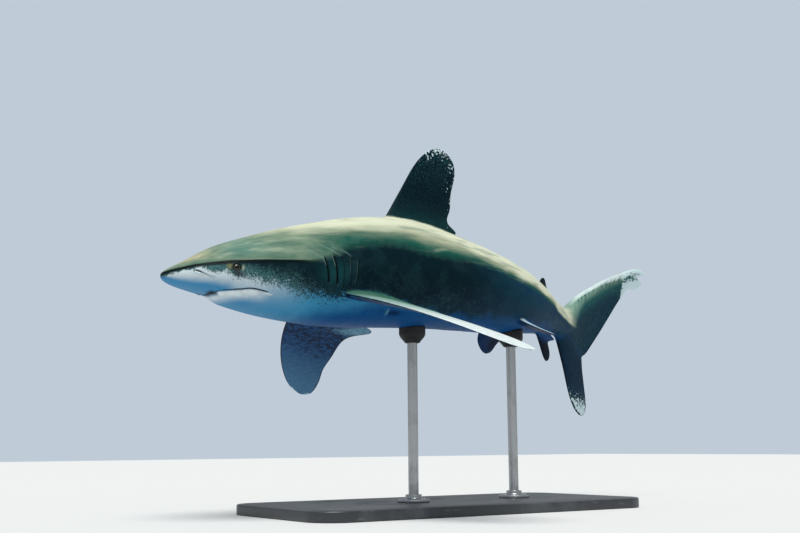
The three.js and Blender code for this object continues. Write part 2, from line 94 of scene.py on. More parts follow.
def fromLine(x, y, points):
    # distance to a line of points, which side of it (left is above), and the share along it
    points = np.array(points, float)
    lengths = np.hypot(*np.diff(points, axis=0).T)
    total, run = lengths.sum(), 0.0
    best, side, share = np.full(x.shape, 1e9), np.ones(x.shape), np.zeros(x.shape)
    for (ax, ay), (bx, by), length in zip(points, points[1:], lengths):
        dx, dy = (bx - ax) / length, (by - ay) / length
        t = np.clip((x - ax) * dx + (y - ay) * dy, 0, length)
        away = np.hypot(x - ax - t * dx, y - ay - t * dy)
        nearer = away < best
        best = np.where(nearer, away, best)
        side = np.where(nearer, np.sign(dx * (y - ay) - dy * (x - ax)), side)
        share = np.where(nearer, (run + t) / total, share)
        run += length
    return best, side, share


def ovalAway(x, y, place, halfX, halfY, tilt=0):  # 1 on the edge of an oval
    c, s = math.cos(math.radians(tilt)), math.sin(math.radians(tilt))
    x, y = x - place[0], y - place[1]
    return np.hypot((x * c + y * s) / halfX, (y * c - x * s) / halfY)


def searchTree(points):
    tree = KDTree(len(points))
    for i, p in enumerate(points):
        tree.insert(p, i)
    tree.balance()
    return tree


# the bent spine: straight places (along, across, up) and where the pose has them
spine = {
    "length": 2200, "step": 5.5, "anchorAlong": 770, "anchor": (-150, -20, 680),
    "turnsAt": [0, 440, 770, 1100, 1364, 1628, 2200], "yaw": [-5.9, -1.7, 0, 7.7, 23.7, 19.7, 13.1],
    "pitch": [-4.1, -2.4, 0, 3.2, 6.4, 8.1, 9.5], "rollsAt": [0, 770, 1364, 2200],
    "roll": [2.2, 0, -6.5, 12.1],
}
yawAt, pitchAt = (splineThrough(spine["turnsAt"], np.radians(spine[turn])) for turn in ("yaw", "pitch"))
rollAt = splineThrough(spine["rollsAt"], np.radians(spine["roll"]))


def spineFrame(along):  # directions rearward, to the right and upward
    yaw, pitch, roll = yawAt(along), pitchAt(along), rollAt(along)
    cy, sy, cp, sp = np.cos(yaw), np.sin(yaw), np.cos(pitch), np.sin(pitch)
    cr, sr = np.cos(roll)[..., None], np.sin(roll)[..., None]
    rear = np.stack([cp * cy, cp * sy, -sp], -1)
    level = np.stack([-sy, cy, np.zeros_like(cy)], -1)
    upright = np.stack([sp * cy, sp * sy, cp], -1)
    return rear, level * cr + upright * sr, upright * cr - level * sr


halfSteps = np.arange(spine["step"] / 2, spine["length"], spine["step"])
spineLine = np.vstack([[0, 0, 0], np.cumsum(spineFrame(halfSteps)[0] * spine["step"], 0)])
spineLine += np.array(spine["anchor"], float) - spineLine[round(spine["anchorAlong"] / spine["step"])]


def spinePoint(along):
    place = np.clip(np.asarray(along, float) / spine["step"], 0, len(spineLine) - 1.001)
    i = np.floor(place).astype(int)
    share = (place - i)[..., None]
    return spineLine[i] * (1 - share) + spineLine[i + 1] * share


def posed(straight):  # straight places, moved to where the bent body has them
    _, right, up = spineFrame(straight[..., 0])
    return spinePoint(straight[..., 0]) + right * straight[..., 1:2] + up * straight[..., 2:3]


def straightened(points):  # the other way round
    nearest = searchTree(spineLine)
    along = np.array([nearest.find(p)[1] for p in points]) * spine["step"]
    for _ in range(8):
        off = points - spinePoint(along)
        along = np.clip(along + 0.8 * np.sum(off * spineFrame(along)[0], -1), 0, spine["length"])
    off = points - spinePoint(along)
    ahead, right, up = (np.sum(off * direction, -1) for direction in spineFrame(along))
    return np.stack([along + ahead, right, up], -1)


# body sections
body = {
    "end": 1606, "headEnd": 600,
    # along, half width, height above the spine line, depth below it
    "profile": [
        (0, 0, 0, 0), (33, 60.5, 25, 26), (77, 92, 46, 39.5), (143, 119, 78, 59), (220, 134.5, 102, 86),
        (330, 146, 132, 119), (462, 152.5, 161, 139), (682, 157, 191.5, 139), (924, 143.5, 170.5, 131),
        (1100, 121, 137, 124.5), (1364, 76, 89.5, 87), (1518, 49, 61.5, 59.5), (1606, 38, 50.5, 48),
    ],
    "fullAt": [0, 110, 264, 484, 880, 1320, 1606], "fullAbove": [2.0, 1.95, 1.9, 1.85, 1.8, 1.85, 2.0],
    "fullBelow": [2.2, 2.6, 2.4, 2.25, 2.2, 2.1, 2.0], "columns": 128, "firstRing": 0.25,
    "snoutEnd": 100, "ringsSnout": 34, "snoutCrowding": 1.6, "ringStepHead": 5.0, "ringStepTrunk": 9.0,
    "lastGap": 6,
}
jaw = {
    "front": 126, "corner": 258,
    "line": [(126, -48), (160, -47.5), (216, -47.5), (238, -52.5), (258, -57)], "bowHalfWidth": 80,
    "bowBack": 12, "bowMost": 36, "bowFade": 90, "drop": 10, "dropFront": 136, "dropLength": 44,
    # the last entry is a painted highlight colour for the top of the lower jaw
    "dropFade": 220, "paintedJawHighlight": (228, 236, 238),
}
rootAlong = [math.sqrt(row[0]) for row in body["profile"]]
halfWidthCurve, topCurve, bottomCurve = (
    splineThrough(rootAlong, [row[k] for row in body["profile"]]) for k in (1, 2, 3)
)
fullAbove = splineThrough(body["fullAt"], body["fullAbove"])
fullBelow = splineThrough(body["fullAt"], body["fullBelow"])


def rootOf(along):
    return np.sqrt(np.clip(along, 0, body["end"]))


def sectionAt(along):
    root = rootOf(along)
    past = np.asarray(along, float) - jaw["dropFront"]
    drop = smooth(past / jaw["dropLength"]) * (1 - smooth((past - jaw["dropLength"]) / jaw["dropFade"]))
    bottom = bottomCurve(root) + jaw["drop"] * drop
    return halfWidthCurve(root), topCurve(root), bottom, fullAbove(along), fullBelow(along)


def halfWidthAt(along, up):
    half, top, bottom, above, below = sectionAt(along)
    up = np.asarray(up, float)
    power = np.where(up > 0, above, below)
    reach = np.abs(up) / np.where(up > 0, top, bottom)
    return half * np.maximum(1 - reach**power, 0) ** (1 / power)


def ontoSection(straight):  # slides places onto the body's exact section
    along, across, up = straight.T
    half, top, bottom, above, below = sectionAt(along)
    tiny = 1e-6
    power = np.where(up > 0, above, below)
    width = np.abs(across) / np.maximum(half, tiny)
    height = np.abs(up) / np.maximum(np.where(up > 0, top, bottom), tiny)
    size = (width**power + height**power) ** (1 / power)
    fixed = straight.copy()
    fixed[:, 1:] /= np.maximum(size, tiny)[:, None]
    return np.where((along > 0.5)[:, None], fixed, straight)


def gridFaces(rings, around, isLoop=False):
    faces = []
    for i in range(rings if isLoop else rings - 1):
        a, b = i * around, (i + 1) % rings * around
        for j in range(around):
            k = (j + 1) % around
            faces.append((a + j, a + k, b + k, b + j))
    return faces


def closedRings(rings, firstPoint, lastPoint):  # rings of points joined up, with fans over both ends
    count, around = len(rings), len(rings[0])
    points = np.vstack([np.reshape(rings, (-1, 3)), [firstPoint], [lastPoint]])
    faces, first, end = gridFaces(count, around), count * around, (count - 1) * around
    for j in range(around):
        k = (j + 1) % around
        faces += [(first, k, j), (first + 1, end + j, end + k)]
    return points, faces


def edit(mesh, change):
    bm = bmesh.new()
    bm.from_mesh(mesh)
    change(bm)
    bm.to_mesh(mesh)
    bm.free()


def turnOutward(bm):
    bmesh.ops.recalc_face_normals(bm, faces=bm.faces)
    if bm.calc_volume(signed=True) < 0:
        bmesh.ops.reverse_faces(bm, faces=bm.faces)


def meshFrom(name, points, faces, scale=mm, isSolid=True):
    mesh = bpy.data.meshes.new(name)
    mesh.from_pydata((np.asarray(points) * scale).tolist(), [], faces)
    mesh.update()
    if isSolid:
        edit(mesh, turnOutward)
    return mesh


def readAll(items, name, width=3, kind=np.float32):
    values = np.empty(len(items) * width, kind)
    items.foreach_get(name, values)
    return values.reshape(-1, width).astype(float if kind is np.float32 else kind)


def setPlaces(mesh, points):
    mesh.vertices.foreach_set("co", np.asarray(points, np.float32).ravel())
    mesh.update()


def addField(mesh, name, values):
    values = np.asarray(values, np.float32)
    kind, key = ("FLOAT", "value") if values.ndim == 1 else ("FLOAT_VECTOR", "vector")
    mesh.attributes.new(name, kind, "POINT").data.foreach_set(key, values.ravel())


def addObject(name, data):
    made = bpy.data.objects.new(name, data)
    scene.collection.objects.link(made)
    return made


def addPiece(mesh, material, slot, *replaced):
    piece = addObject(mesh.name, mesh)
    mesh.materials.clear()
    mesh.materials.append(material)
    mesh.polygons.foreach_set("use_smooth", [True] * len(mesh.polygons))
    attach(piece, "root")
    if replaced:
        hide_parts(*replaced)


# the head's features, as distances the skin moves outwards
eye = {
    "along": 166, "up": 10, "halfLength": 10.8, "halfHeight": 9.6, "ballRadius": 15, "ballDepth": 12.4,
    # heights, and places in shares of the way from the eye's middle to the lids' edge
    "socketDepth": 6.5, "socketEdge": (0.9, 1.06), "rim": (0.9, 1.2, 0.2), "lidShade": (0.84, 1.0),
    "fold": (-0.7, 1.62, 0.13), "foldLeast": 0.45, "foldMoreBehind": 0.8, "foldBlend": 12,
}
mouthCut = {
    "depth": 4.0, "depthFront": 9, "width": 2.2, "frontHalf": 52, "frontFade": 20, "jawRound": 7.5,
    "fadeOut": (238, 262), "shade": 1.6, "shadeBelow": 9.0, "shadeAbove": 3.0, "shadeFadeOut": (240, 266),
    # a lip's rise, its distance from the mouth's line and its width
    "lowerLip": (1.6, 8, 4.5), "upperLip": (0.8, 6, 3.5), "lessInFront": 0.6,
}
nostril = {
    "slit": [(69, 4), (75, 2), (80, -1)], "groove": [(80, -1), (88, -5), (100, -12), (113, -15)],
    "depth": 5.0, "width": 1.7, "flap": (1.6, 3.6, 2.2), "grooveDepth": 1.2, "grooveWidth": 1.5,
    "grooveRim": (0.8, 3, 2), "shade": (44, 84, 98),
}
gills = {
    "slits": [
        [(409, 39), (413, 22), (416, -1), (417, -26)], [(437, 43), (441, 22), (443, 0), (443, -30)],
        [(461.5, 44), (465.5, 24), (464, -8), (464, -44)],
        [(490, 38), (488, 16), (486, -6.5), (485, -34)], [(511, 30), (509, 14), (506, -9), (501, -32)],
    ],
    "depths": [5.6, 5.6, 3.4, 3.4, 3.8], "darkness": [1.0, 1.0, 0.5, 0.5, 0.6],
    # a slit's front lip gets a painted highlight above this height
    "highlightFrom": [18, 16, 60, -4, -40], "lipShown": [0.62, 0.6, 0.1, 0.1, 0.14], "lipRise": 2.0,
    "lipReach": 9, "edge": 0.9, "floorTo": 2.0, "recover": 15, "fade": 9, "endFade": 3, "shadeAt": 2.4,
    # the lips' pale colour here is a painted highlight, also laid along the gill folds' crests
    "shadeMore": 2.6, "lipHighlight": (132, 164, 158), "between": (28, 88, 92),
}
gillFolds = {
    "lines": [
        [(353, 70), (376, 55.5), (401, 38.5), (409, 32)], [(395, 81), (427, 66.5), (455, 49), (473, 45)],
        [(460, 69), (479, 56), (496, 43)], [(372, 74), (400, 60), (427, 46)],
        [(330, 72), (352, 60), (380, 44)], [(425, 80), (448, 68), (478, 52)],
    ],
    "rise": [1.3, 1.3, 1.1, 0.6, 0.5, 0.6], "width": 2.6, "crest": 1.4, "furrow": (0.8, -2, 2),
    # the width of the painted highlight along each fold's crest
    "highlightWidth": 1.8,
}
mouthEnd, sideFrom = 300, 0.35  # the mouth ends before this; the sides start at this share of the width


def ridge(away, rise, middle, width):  # a low ridge along a line, its middle some way off it
    return rise * bump(away - middle, width)


def unbowed(along, across):  # takes out the sweep of the mouth's front towards the sides
    bow = np.minimum(jaw["bowBack"] * (across / jaw["bowHalfWidth"]) ** 4, jaw["bowMost"])
    guess = along.copy()
    for _ in range(9):
        guess = along - bow * (1 - smooth((guess - jaw["front"]) / jaw["bowFade"]))
    return guess


mouthLineUp = curveThrough(jaw["line"])
mouthLine = [(jaw["front"], -130)]
mouthLine += [(x, float(mouthLineUp(x))) for x in range(jaw["front"], jaw["corner"] + 1, 6)]


def mouthDistance(along, across, up):
    flat = unbowed(along, across)
    away, side, _ = fromLine(flat, up, mouthLine)
    return away, side, flat


def jawFront(across):  # 1 on the middle of the mouth's front, 0 at its sides
    half, fade = mouthCut["frontHalf"], mouthCut["frontFade"]
    return fall(np.abs(across), half - fade, half + fade)


def mouthRelief(along, across, up):
    away, side, flat = mouthDistance(along, across, up)
    below = side < 0
    strength = fall(flat, *mouthCut["fadeOut"]) * (along < mouthEnd)
    front = jawFront(across)
    depth = mouthCut["depth"] + (mouthCut["depthFront"] - mouthCut["depth"]) * front
    cut = -depth * bump(away, mouthCut["width"] + np.where(below, mouthCut["jawRound"], 1) * front)
    lower = ridge(away, *mouthCut["lowerLip"]) * (1 - mouthCut["lessInFront"] * front)
    upper = ridge(away, *mouthCut["upperLip"])
    return strength * (cut + np.where(below, lower, upper))


def eyeOffset(along, up):  # 1 on the edge of the lids
    return ovalAway(along, up, (eye["along"], eye["up"]), eye["halfLength"], eye["halfHeight"])


def eyeRelief(along, up):
    away = eyeOffset(along, up)
    blend, (foldHeight, *foldPlace) = eye["foldBlend"], eye["fold"]
    rearBelow = ramp(along - eye["along"] - (up - eye["up"]), -blend, blend)
    foldShare = eye["foldLeast"] + eye["foldMoreBehind"] * rearBelow
    socket = -eye["socketDepth"] * fall(away, *eye["socketEdge"])
    return socket + ridge(away, *eye["rim"]) + ridge(away, foldHeight * foldShare, *foldPlace)


def nostrilRelief(along, up):
    away, side, share = fromLine(along, up, nostril["slit"])
    slit = -nostril["depth"] * bump(away, nostril["width"]) * (0.5 + 0.5 * np.sin(pi * share))
    flap = ridge(away, *nostril["flap"]) * (side < 0)
    away, side, share = fromLine(along, up, nostril["groove"])
    groove = -nostril["grooveDepth"] * (1 - share) * bump(away, nostril["grooveWidth"])
    rimRise, *rimPlace = nostril["grooveRim"]
    return slit + flap + (groove + ridge(away, rimRise * (1 - share), *rimPlace) * (side < 0))


def slitMeasures(along, up, slit):  # how far behind the slit's front edge, and 1 over its length
    alongs, ups = zip(*slit[::-1])
    low, high = ups[0], ups[-1]
    outside, inside = gills["fade"], gills["endFade"]
    fade = ramp(up, low - outside, low + inside) * fall(up, high - inside, high + outside)
    return along - splineThrough(ups, alongs)(up), fade


def gillRelief(along, up):
    total = np.zeros(along.shape)
    rise, edgeWidth = gills["lipRise"], gills["edge"]
    for slit, depth in zip(gills["slits"], gills["depths"]):
        past, fade = slitMeasures(along, up, slit)
        lip = rise * np.exp(-np.abs(past / gills["lipReach"]) ** 1.5) * (past < 0)
        step = -depth * fall(past, gills["floorTo"], gills["recover"]) * ramp(past, -0.6, edgeWidth)
        edge = rise * fall(past, 0, edgeWidth) * (past >= 0)
        total += fade * (lip + step + edge)
    for line, rise in zip(gillFolds["lines"], gillFolds["rise"]):
        away, side, share = fromLine(along, up, line)
        ends, off = np.sin(pi * np.clip(share, 0.02, 0.98)) ** 0.6, away * side
        crest = bump(off - gillFolds["crest"], gillFolds["width"])
        total += rise * ends * (crest - ridge(off, *gillFolds["furrow"]))
    return total


def headRelief(straight):
    along, across, up = straight.T
    side = np.abs(across) > sideFrom * halfWidthCurve(rootOf(along))
    onSide = eyeRelief(along, up) + nostrilRelief(along, up) + gillRelief(along, up)
    return mouthRelief(along, across, up) + side * onSide


def headHollowShade(straight):  # 1 where painted shade darkens the mouth's line, the nostrils, the lids and the gill slits
    along, across, up = straight.T
    side = np.abs(across) > sideFrom * halfWidthCurve(rootOf(along))
    away, underLip, flat = mouthDistance(along, across, up)
    more = np.where(underLip < 0, mouthCut["shadeBelow"], mouthCut["shadeAbove"])
    wide = mouthCut["shade"] + jawFront(across) * more
    dark = bump(away, wide) * fall(flat, *mouthCut["shadeFadeOut"]) * (along < mouthEnd)
    dark = np.maximum(dark, side * bump(fromLine(along, up, nostril["slit"])[0], nostril["width"]))
    dark = np.maximum(dark, side * fall(eyeOffset(along, up), *eye["lidShade"]))
    for slit, darkness in zip(gills["slits"], gills["darkness"]):
        past, fade = slitMeasures(along, up, slit)
        shade = bump(past - gills["shadeAt"], gills["shadeAt"] + gills["shadeMore"] * darkness)
        dark = np.maximum(dark, side * fade * darkness * shade)
    return dark


backRidge = {"from": 960, "to": 1400, "ends": 60, "rise": 2.2, "width": 9}
tailPits = {"along": 1597, "depth": 4.5, "length": 5, "width": 16}
muscles = {
    "rise": 0.5, "length": 21, "tall": 27, "slant": 160, "bend": 2.2, "bendTall": 38, "from": (560, 640),
    "to": (1450, 1560), "offMiddle": 30,
}
# how much is worn off the tip of the upper tail lobe, over the share of its end from top to bottom
tears = {
    "from": 374, "end": 487,
    "worn": [
        (0.0, 0), (0.14, 0), (0.2, 10), (0.245, 50), (0.3, 44), (0.34, 26), (0.41, 30), (0.46, 64),
        (0.52, 58), (0.56, 36), (0.62, 40), (0.67, 74), (0.73, 70), (0.77, 18), (0.86, 8), (1.0, 16),
    ],
}
upperLobe = {
    "top": [
        (0, 50.5), (40, 82), (89, 120), (184, 180), (271, 234), (353, 279), (431, 317), (466, 322),
        (487, 316),
    ],
    "bottom": [
        (0, -48), (70, -72), (141, -90), (207, -36), (285, 58), (349, 152), (411, 229), (440, 237),
        (474, 248), (487, 268),
    ],
    "rootThickness": 76, "tipThickness": 6, "thinPast": 60, "rings": 78, "firstRing": 0.012,
    "crowding": 1.15, "flatBy": 170, "edge": 1.2, "keel": 0.5, "keelHigher": 0.2, "rearSharpness": 1.3,
}
lobeTopAt, lobeBottomAt = curveThrough(upperLobe["top"]), curveThrough(upperLobe["bottom"])


def bodyRelief(straight):
    along, across, up = straight.T
    start, end, ends = (backRidge[key] for key in ("from", "to", "ends"))
    onTop, onBottom = up > 0.6 * topCurve(rootOf(along)), up < -0.6 * bottomCurve(rootOf(along))
    inRange = ramp(along, start, start + ends) * fall(along, end - ends, end)
    spineRidge = backRidge["rise"] * bump(across, backRidge["width"]) * inRange * onTop
    pits = bump(along - tailPits["along"], tailPits["length"]) * bump(across, tailPits["width"])
    bent = muscles["bend"] * np.sin(up / muscles["bendTall"])
    waves = muscles["rise"] * np.sin(along / muscles["length"] + bent)
    waves = waves * np.sin(up / muscles["tall"] + along / muscles["slant"])
    onFlank = ramp(along, *muscles["from"]) * fall(along, *muscles["to"])
    onFlank = onFlank * (np.abs(across) > muscles["offMiddle"])
    return spineRidge - tailPits["depth"] * pits * (onTop | onBottom) + waves * onFlank


def tornTip(straight):
    rearward, up = straight[:, 0] - body["end"], straight[:, 2]
    top, bottom = lobeTopAt(rearward), lobeBottomAt(rearward)
    down = np.clip((top - up) / np.maximum(top - bottom, 1), 0, 1)
    moved = straight.copy()
    moved[:, 0] -= lineThrough(tears["worn"])(down) * ramp(rearward, tears["from"], tears["end"])
    return moved


def bodyRings():  # the body and upper tail lobe as one loft
    angle = 2 * pi * np.arange(body["columns"]) / body["columns"]
    sine, cosine = np.sin(angle), np.cos(angle)
    down = (1 - sine) / 2
    end, headEnd, snoutEnd, gap = (body[key] for key in ("end", "headEnd", "snoutEnd", "lastGap"))
    snout = np.arange(1, body["ringsSnout"] + 1) / body["ringsSnout"]
    snout = snoutEnd * snout ** body["snoutCrowding"]
    head = np.arange(snoutEnd + body["ringStepHead"], headEnd, body["ringStepHead"])
    trunk = np.linspace(headEnd, end - gap, round((end - headEnd - gap) / body["ringStepTrunk"]))
    rings = []
    for along in np.concatenate([[body["firstRing"]], snout, head, trunk]):
        half, top, bottom, above, below = sectionAt(along)
        power = 2 / np.where(sine > 0, above, below)
        across = half * np.sign(cosine) * np.abs(cosine) ** power
        up = np.where(sine > 0, top, bottom) * np.sign(sine) * np.abs(sine) ** power
        rings.append(np.stack([np.full(len(angle), along), across, up], -1))
    length, root, tip = upperLobe["top"][-1][0], upperLobe["rootThickness"], upperLobe["tipThickness"]
    for share in np.linspace(upperLobe["firstRing"], 1, upperLobe["rings"]):
        rearward = length * math.sin(share * pi / 2) ** upperLobe["crowding"]
        top, bottom = lobeTopAt(rearward), lobeBottomAt(rearward)
        flatness = smooth(rearward / upperLobe["flatBy"])
        half = (tip + (root - tip) * (1 - rearward / (length + upperLobe["thinPast"])) ** 2) / 2
        keel = upperLobe["keel"] - upperLobe["keelHigher"] * flatness
        fromKeel = np.where(down < keel, (keel - down) / keel, (down - keel) / (1 - keel))
        roundShape = np.sqrt(np.clip(1 - fromKeel**2, 0, 1))
        sharp = (1 - np.clip(fromKeel, 0, 1)) ** upperLobe["rearSharpness"]
        bulge = roundShape + (np.where(down < keel, roundShape, sharp) - roundShape) * flatness
        across = np.sign(np.round(cosine, 9)) * np.maximum(half * bulge, upperLobe["edge"] / 2)
        rings.append(np.stack([np.full(len(angle), end + rearward), across, top + (bottom - top) * down], -1))
    return np.array(rings)


# finer faces round the eyes, nostrils, gills and gill folds: along, up and the longest edge there
fineZones = [
    ((62, 122), (-24, 12), 2.2),
    ((62, 92), (-10, 12), 1.5),
    ((396, 522), (-58, 52), 2.0),
    ((325, 500), (36, 90), 3.2),
]
coarseEdge, fineEnd = 20.0, 540


def longestEdge(centre):
    along, across, up = centre
    sizes = [coarseEdge]
    if abs(across) > 40:
        fromEye = math.hypot(along - eye["along"], up - eye["up"])
        sizes += [1.0] * (fromEye < 13.5) + [2.0] * (fromEye < 21)
        for (start, end), (low, high), size in fineZones:
            if start < along < end and low < up < high:
                sizes.append(size)
    if 112 < along < 275 and up < -30:
        away = mouthDistance(*(np.array([value]) for value in centre))[0][0]
        sizes += [1.6] * (away < 7) + [3.2] * (away < 14)
    return min(sizes)


def refineHead(bm):
    for _ in range(3):
        chosen = set()
        for face in bm.faces:
            centre, longest = face.calc_center_median(), max(edge.calc_length() for edge in face.edges)
            if centre.x <= fineEnd and longest > 1.45 * longestEdge(centre):
                chosen.update(face.edges)
        if not chosen:
            break
        bmesh.ops.subdivide_edges(bm, edges=list(chosen), cuts=1, use_grid_fill=True)


def makeBody():
    rings = bodyRings()
    tip = rings[-1].mean(0) + np.array([0.6, 0, 0])
    mesh = meshFrom("bodyStraight", *closedRings(rings, (0, 0, 0), tip), 1.0)
    edit(mesh, refineHead)
    straight = readAll(mesh.vertices, "co")
    onHead = straight[:, 0] < body["headEnd"]
    straight[onHead] = ontoSection(straight[onHead])
    setPlaces(mesh, straight)
    relief, hollowShade = np.zeros(len(straight)), np.zeros(len(straight))
    relief[onHead], hollowShade[onHead] = headRelief(straight[onHead]), headHollowShade(straight[onHead])
    shift = relief + bodyRelief(straight)
    straight = tornTip(straight + readAll(mesh.vertex_normals, "vector") * shift[:, None])
    setPlaces(mesh, posed(straight) * mm)
    return mesh, hollowShade


# fins as thin blades, wide at the root where they flow into the body
finShapes = {
    "firstDorsal": {
        "direction": 1, "along": 701, "base": 178,
        "leading": [(-14, -45), (1, 15), (51, 108), (98, 186), (136, 231), (170, 256)],
        "apex": (204, 265),
        "trailing": [
            (238, 254), (263, 222), (263, 180), (245, 109), (239, 64), (241, 18), (262, -2), (222, -22),
            (205, -45),
        ],
        "thickness": (32, 5), "rings": 56, "chord": 30, "flare": (14, 9, 16), "surface": 14,
    },
    "secondDorsal": {
        "direction": 1, "along": 1408, "base": 72, "leading": [(-6, -25), (2, 8), (26, 38), (46, 57)],
        "apex": (64, 62),
        "trailing": [(74, 52), (78, 37), (90, 23), (117, 12), (130, 5), (106, -3), (80, -12), (70, -25)],
        "thickness": (14, 3), "rings": 26, "chord": 16, "flare": (7, 5, 8), "surface": 6,
    },
    "anal": {
        "direction": -1, "along": 1370, "base": -76, "leading": [(-8, -30), (3, 6), (24, 50), (42, 80)],
        "apex": (66, 93),
        "trailing": [
            (90, 84), (104, 58), (97, 34), (112, 14), (149, -3), (120, -9), (92, -15), (80, -30),
        ],
        "thickness": (15, 3), "rings": 30, "chord": 16, "flare": (7, 5, 8), "surface": 9,
    },
    "lowerLobe": {
        "direction": -1, "along": 1606, "base": -48,
        "leading": [(-66, -40), (-58, 20), (-18, 106), (20, 184), (66, 234), (104, 252)],
        "apex": (142, 257),
        "trailing": [
            (172, 248), (187, 222), (178, 184), (153, 114), (141, 60), (139, 42), (96, -8), (60, -40),
        ],
        "thickness": (30, 5), "rings": 50, "chord": 22, "flare": (10, 8, 14), "surface": 8,
    },
    "pectoral": {
        "along": 476, "up": -58, "length": 559,
        "leading": [
            (-4, -32), (0, 0), (26, 142), (57, 242), (100, 342), (144, 420), (198, 492), (240, 525),
        ],
        "apex": (272, 533),
        "trailing": [
            (299, 515), (301, 482), (283, 399), (266, 344), (251, 249), (237, 174), (236, 128), (249, 96),
            (277, 64), (285, 38), (240, 20), (156, 5), (134, -8), (122, -32),
        ],
        "thickness": (22, 3.2), "rings": 92, "chord": 26, "flare": (11, 8, 14), "surface": 0,
    },
    "pelvic": {
        "along": 1147, "up": -90, "length": 122,
        "leading": [(-6, -30), (0, 0), (16, 44), (46, 72), (70, 86)], "apex": (92, 92),
        "trailing": [
            (110, 84), (115, 61), (120, 39), (134, 18), (134, 5), (116, -6), (96, -16), (84, -30),
        ],
        "thickness": (17, 3.5), "rings": 30, "chord": 16, "flare": (7, 5, 9), "surface": 0,
    },
}
# shape, side, swept back, drooping, rear edge down, more of that over the length, curve, the root's
# tilt, and the last part's own rear edge down and droop
pairedPoses = {
    "pectoralLeft": ("pectoral", -1, -4.25, 12.8, 8.2, 4.8, 6.6, 6.3, -5.8, 3.3),
    "pectoralRight": ("pectoral", 1, 1, 20.8, 14.7, 3.8, 4.3, 0, 0, 0),
    "pelvicLeft": ("pelvic", -1, -10.3, 27.2, 12.4, -6, -7.7, 0, 0, 0),
    "pelvicRight": ("pelvic", 1, 2, 44, 0, 0, 0, 0, 0, 0),
}
blade = {
    "edge": 1.2, "rootReach": 14, "spanEase": 1.25, "tipGap": 0.03, "thinning": 0.7, "flareBehind": 0.3,
    "fullness": 2.6, "belowRoot": -50,
}
finNames = ["firstDorsal", "secondDorsal", "anal", "lowerLobe", *pairedPoses]


def shapeOf(name):
    return finShapes[pairedPoses[name][0] if name in pairedPoses else name]


def edgeCurve(fin, edge):  # the lowest angle of a fin's edge, and the edge by angle
    apex = fin["apex"]
    rising = sorted(fin[edge], key=lambda p: p[1])
    angles = [math.asin(max(-1.0, min(1.0, p[1] / apex[1]))) for p in rising] + [pi / 2]
    return angles[0], splineThrough(angles, [p[0] for p in rising] + [apex[0]])


def bladeMesh(fin, place):
    (startFront, leading), (startRear, trailing) = edgeCurve(fin, "leading"), edgeCurve(fin, "trailing")
    height = float(fin["apex"][1])
    start, end = max(startFront, startRear), pi / 2 - blade["tipGap"]
    (root, tip), (flareWide, flareLong, flareReach) = fin["thickness"], fin["flare"]
    shares = (1 - np.cos(pi * np.arange(1, fin["chord"] + 1) / fin["chord"])) / 2
    chord = np.concatenate([[0], shares, shares[::-1]])
    face = np.concatenate([[0], np.ones(len(shares)), -np.ones(len(shares))])
    rings, marks = [], []
    for angle in start + (end - start) * np.linspace(0, 1, fin["rings"]) ** blade["spanEase"]:
        outward = height * math.sin(angle)
        share = min(max(outward / height, 0), 1)
        flare = math.exp(-max(outward - fin["surface"], 0) / flareReach)
        thickness = root + (tip - root) * share ** blade["thinning"] + flareWide * flare
        front = float(leading(angle)) - flareLong * flare
        rear = float(trailing(angle)) + blade["flareBehind"] * flareLong * flare
        section = thickness * blade["fullness"] * np.sqrt(chord) * (1 - chord)
        half = (section + blade["edge"] * chord) / 2
        level = np.full(len(chord), outward)
        rings.append(place(front + (rear - front) * chord, level, face * half))
        marks.append(np.stack([chord, level, face], -1))
    tipPlace = place(*(np.array([value]) for value in (float(fin["apex"][0]), height, 0.0)))[0]
    points, faces = closedRings(rings, rings[0].mean(0), tipPlace)
    return points, faces, np.vstack([*marks, [[0.5, blade["belowRoot"], 0]], [[0.5, height, 0]]])


def medianFin(fin):
    def place(rearward, outward, sideways):
        up = fin["base"] + fin["direction"] * outward
        return posed(np.stack([fin["along"] + rearward, sideways, up], -1))

    return bladeMesh(fin, place)


def pairedFin(pose):
    shape, side, sweep, droop, incidence, twist, curve, rootTilt, tipTwist, tipCurve = pose
    fin = finShapes[shape]
    rear, right, up = spineFrame(np.array(float(fin["along"])))
    acrossRoot = side * halfWidthAt(fin["along"], fin["up"])
    root = posed(np.array([fin["along"], acrossRoot, fin["up"]], float))
    sweep = math.radians(sweep)

    def tilted(a, b, degrees):
        angle = np.radians(degrees)[:, None]
        return a * np.cos(angle) - b * np.sin(angle)

    def place(rearward, outward, sideways):
        share = outward / fin["length"]
        fade = bump(np.maximum(outward, 0), blade["rootReach"])
        atTip = np.maximum(share, 0) ** 3
        chord = tilted(rear, up, incidence + twist * share + tipTwist * atTip - rootTilt * fade)
        span = tilted(right * side, up, droop + curve * (share / 2 - 0.5) + tipCurve * atTip)
        normal = np.cross(span, chord)
        normal /= np.linalg.norm(normal, axis=1)[:, None]
        swept = (rearward * math.cos(sweep) + outward * math.sin(sweep))[:, None]
        out = (outward * math.cos(sweep))[:, None]
        return root + chord * swept + span * out + normal * sideways[:, None]

    return bladeMesh(fin, place)


# one skin
skinSettings = {"smoothReach": 15, "smoothPasses": 14, "smoothShare": 0.62}


def unionOf(bodyMesh, finSets):
    bodyPiece = addObject("bodyWork", bodyMesh)
    workers = [bodyPiece]
    for name, (points, faces, _) in zip(finNames, finSets):
        fin = addObject(name + "Work", meshFrom(name + "Work", points, faces))
        cut = bodyPiece.modifiers.new(name, "BOOLEAN")
        cut.operation, cut.object, cut.solver = "UNION", fin, "MANIFOLD"
        workers.append(fin)
    graph = bpy.context.evaluated_depsgraph_get()
    joined = bpy.data.meshes.new_from_object(bodyPiece.evaluated_get(graph))
    for piece in workers:
        used = piece.data
        bpy.data.objects.remove(piece)
        if used.users == 0:
            bpy.data.meshes.remove(used)
    joined.name = "skin"
    return joined


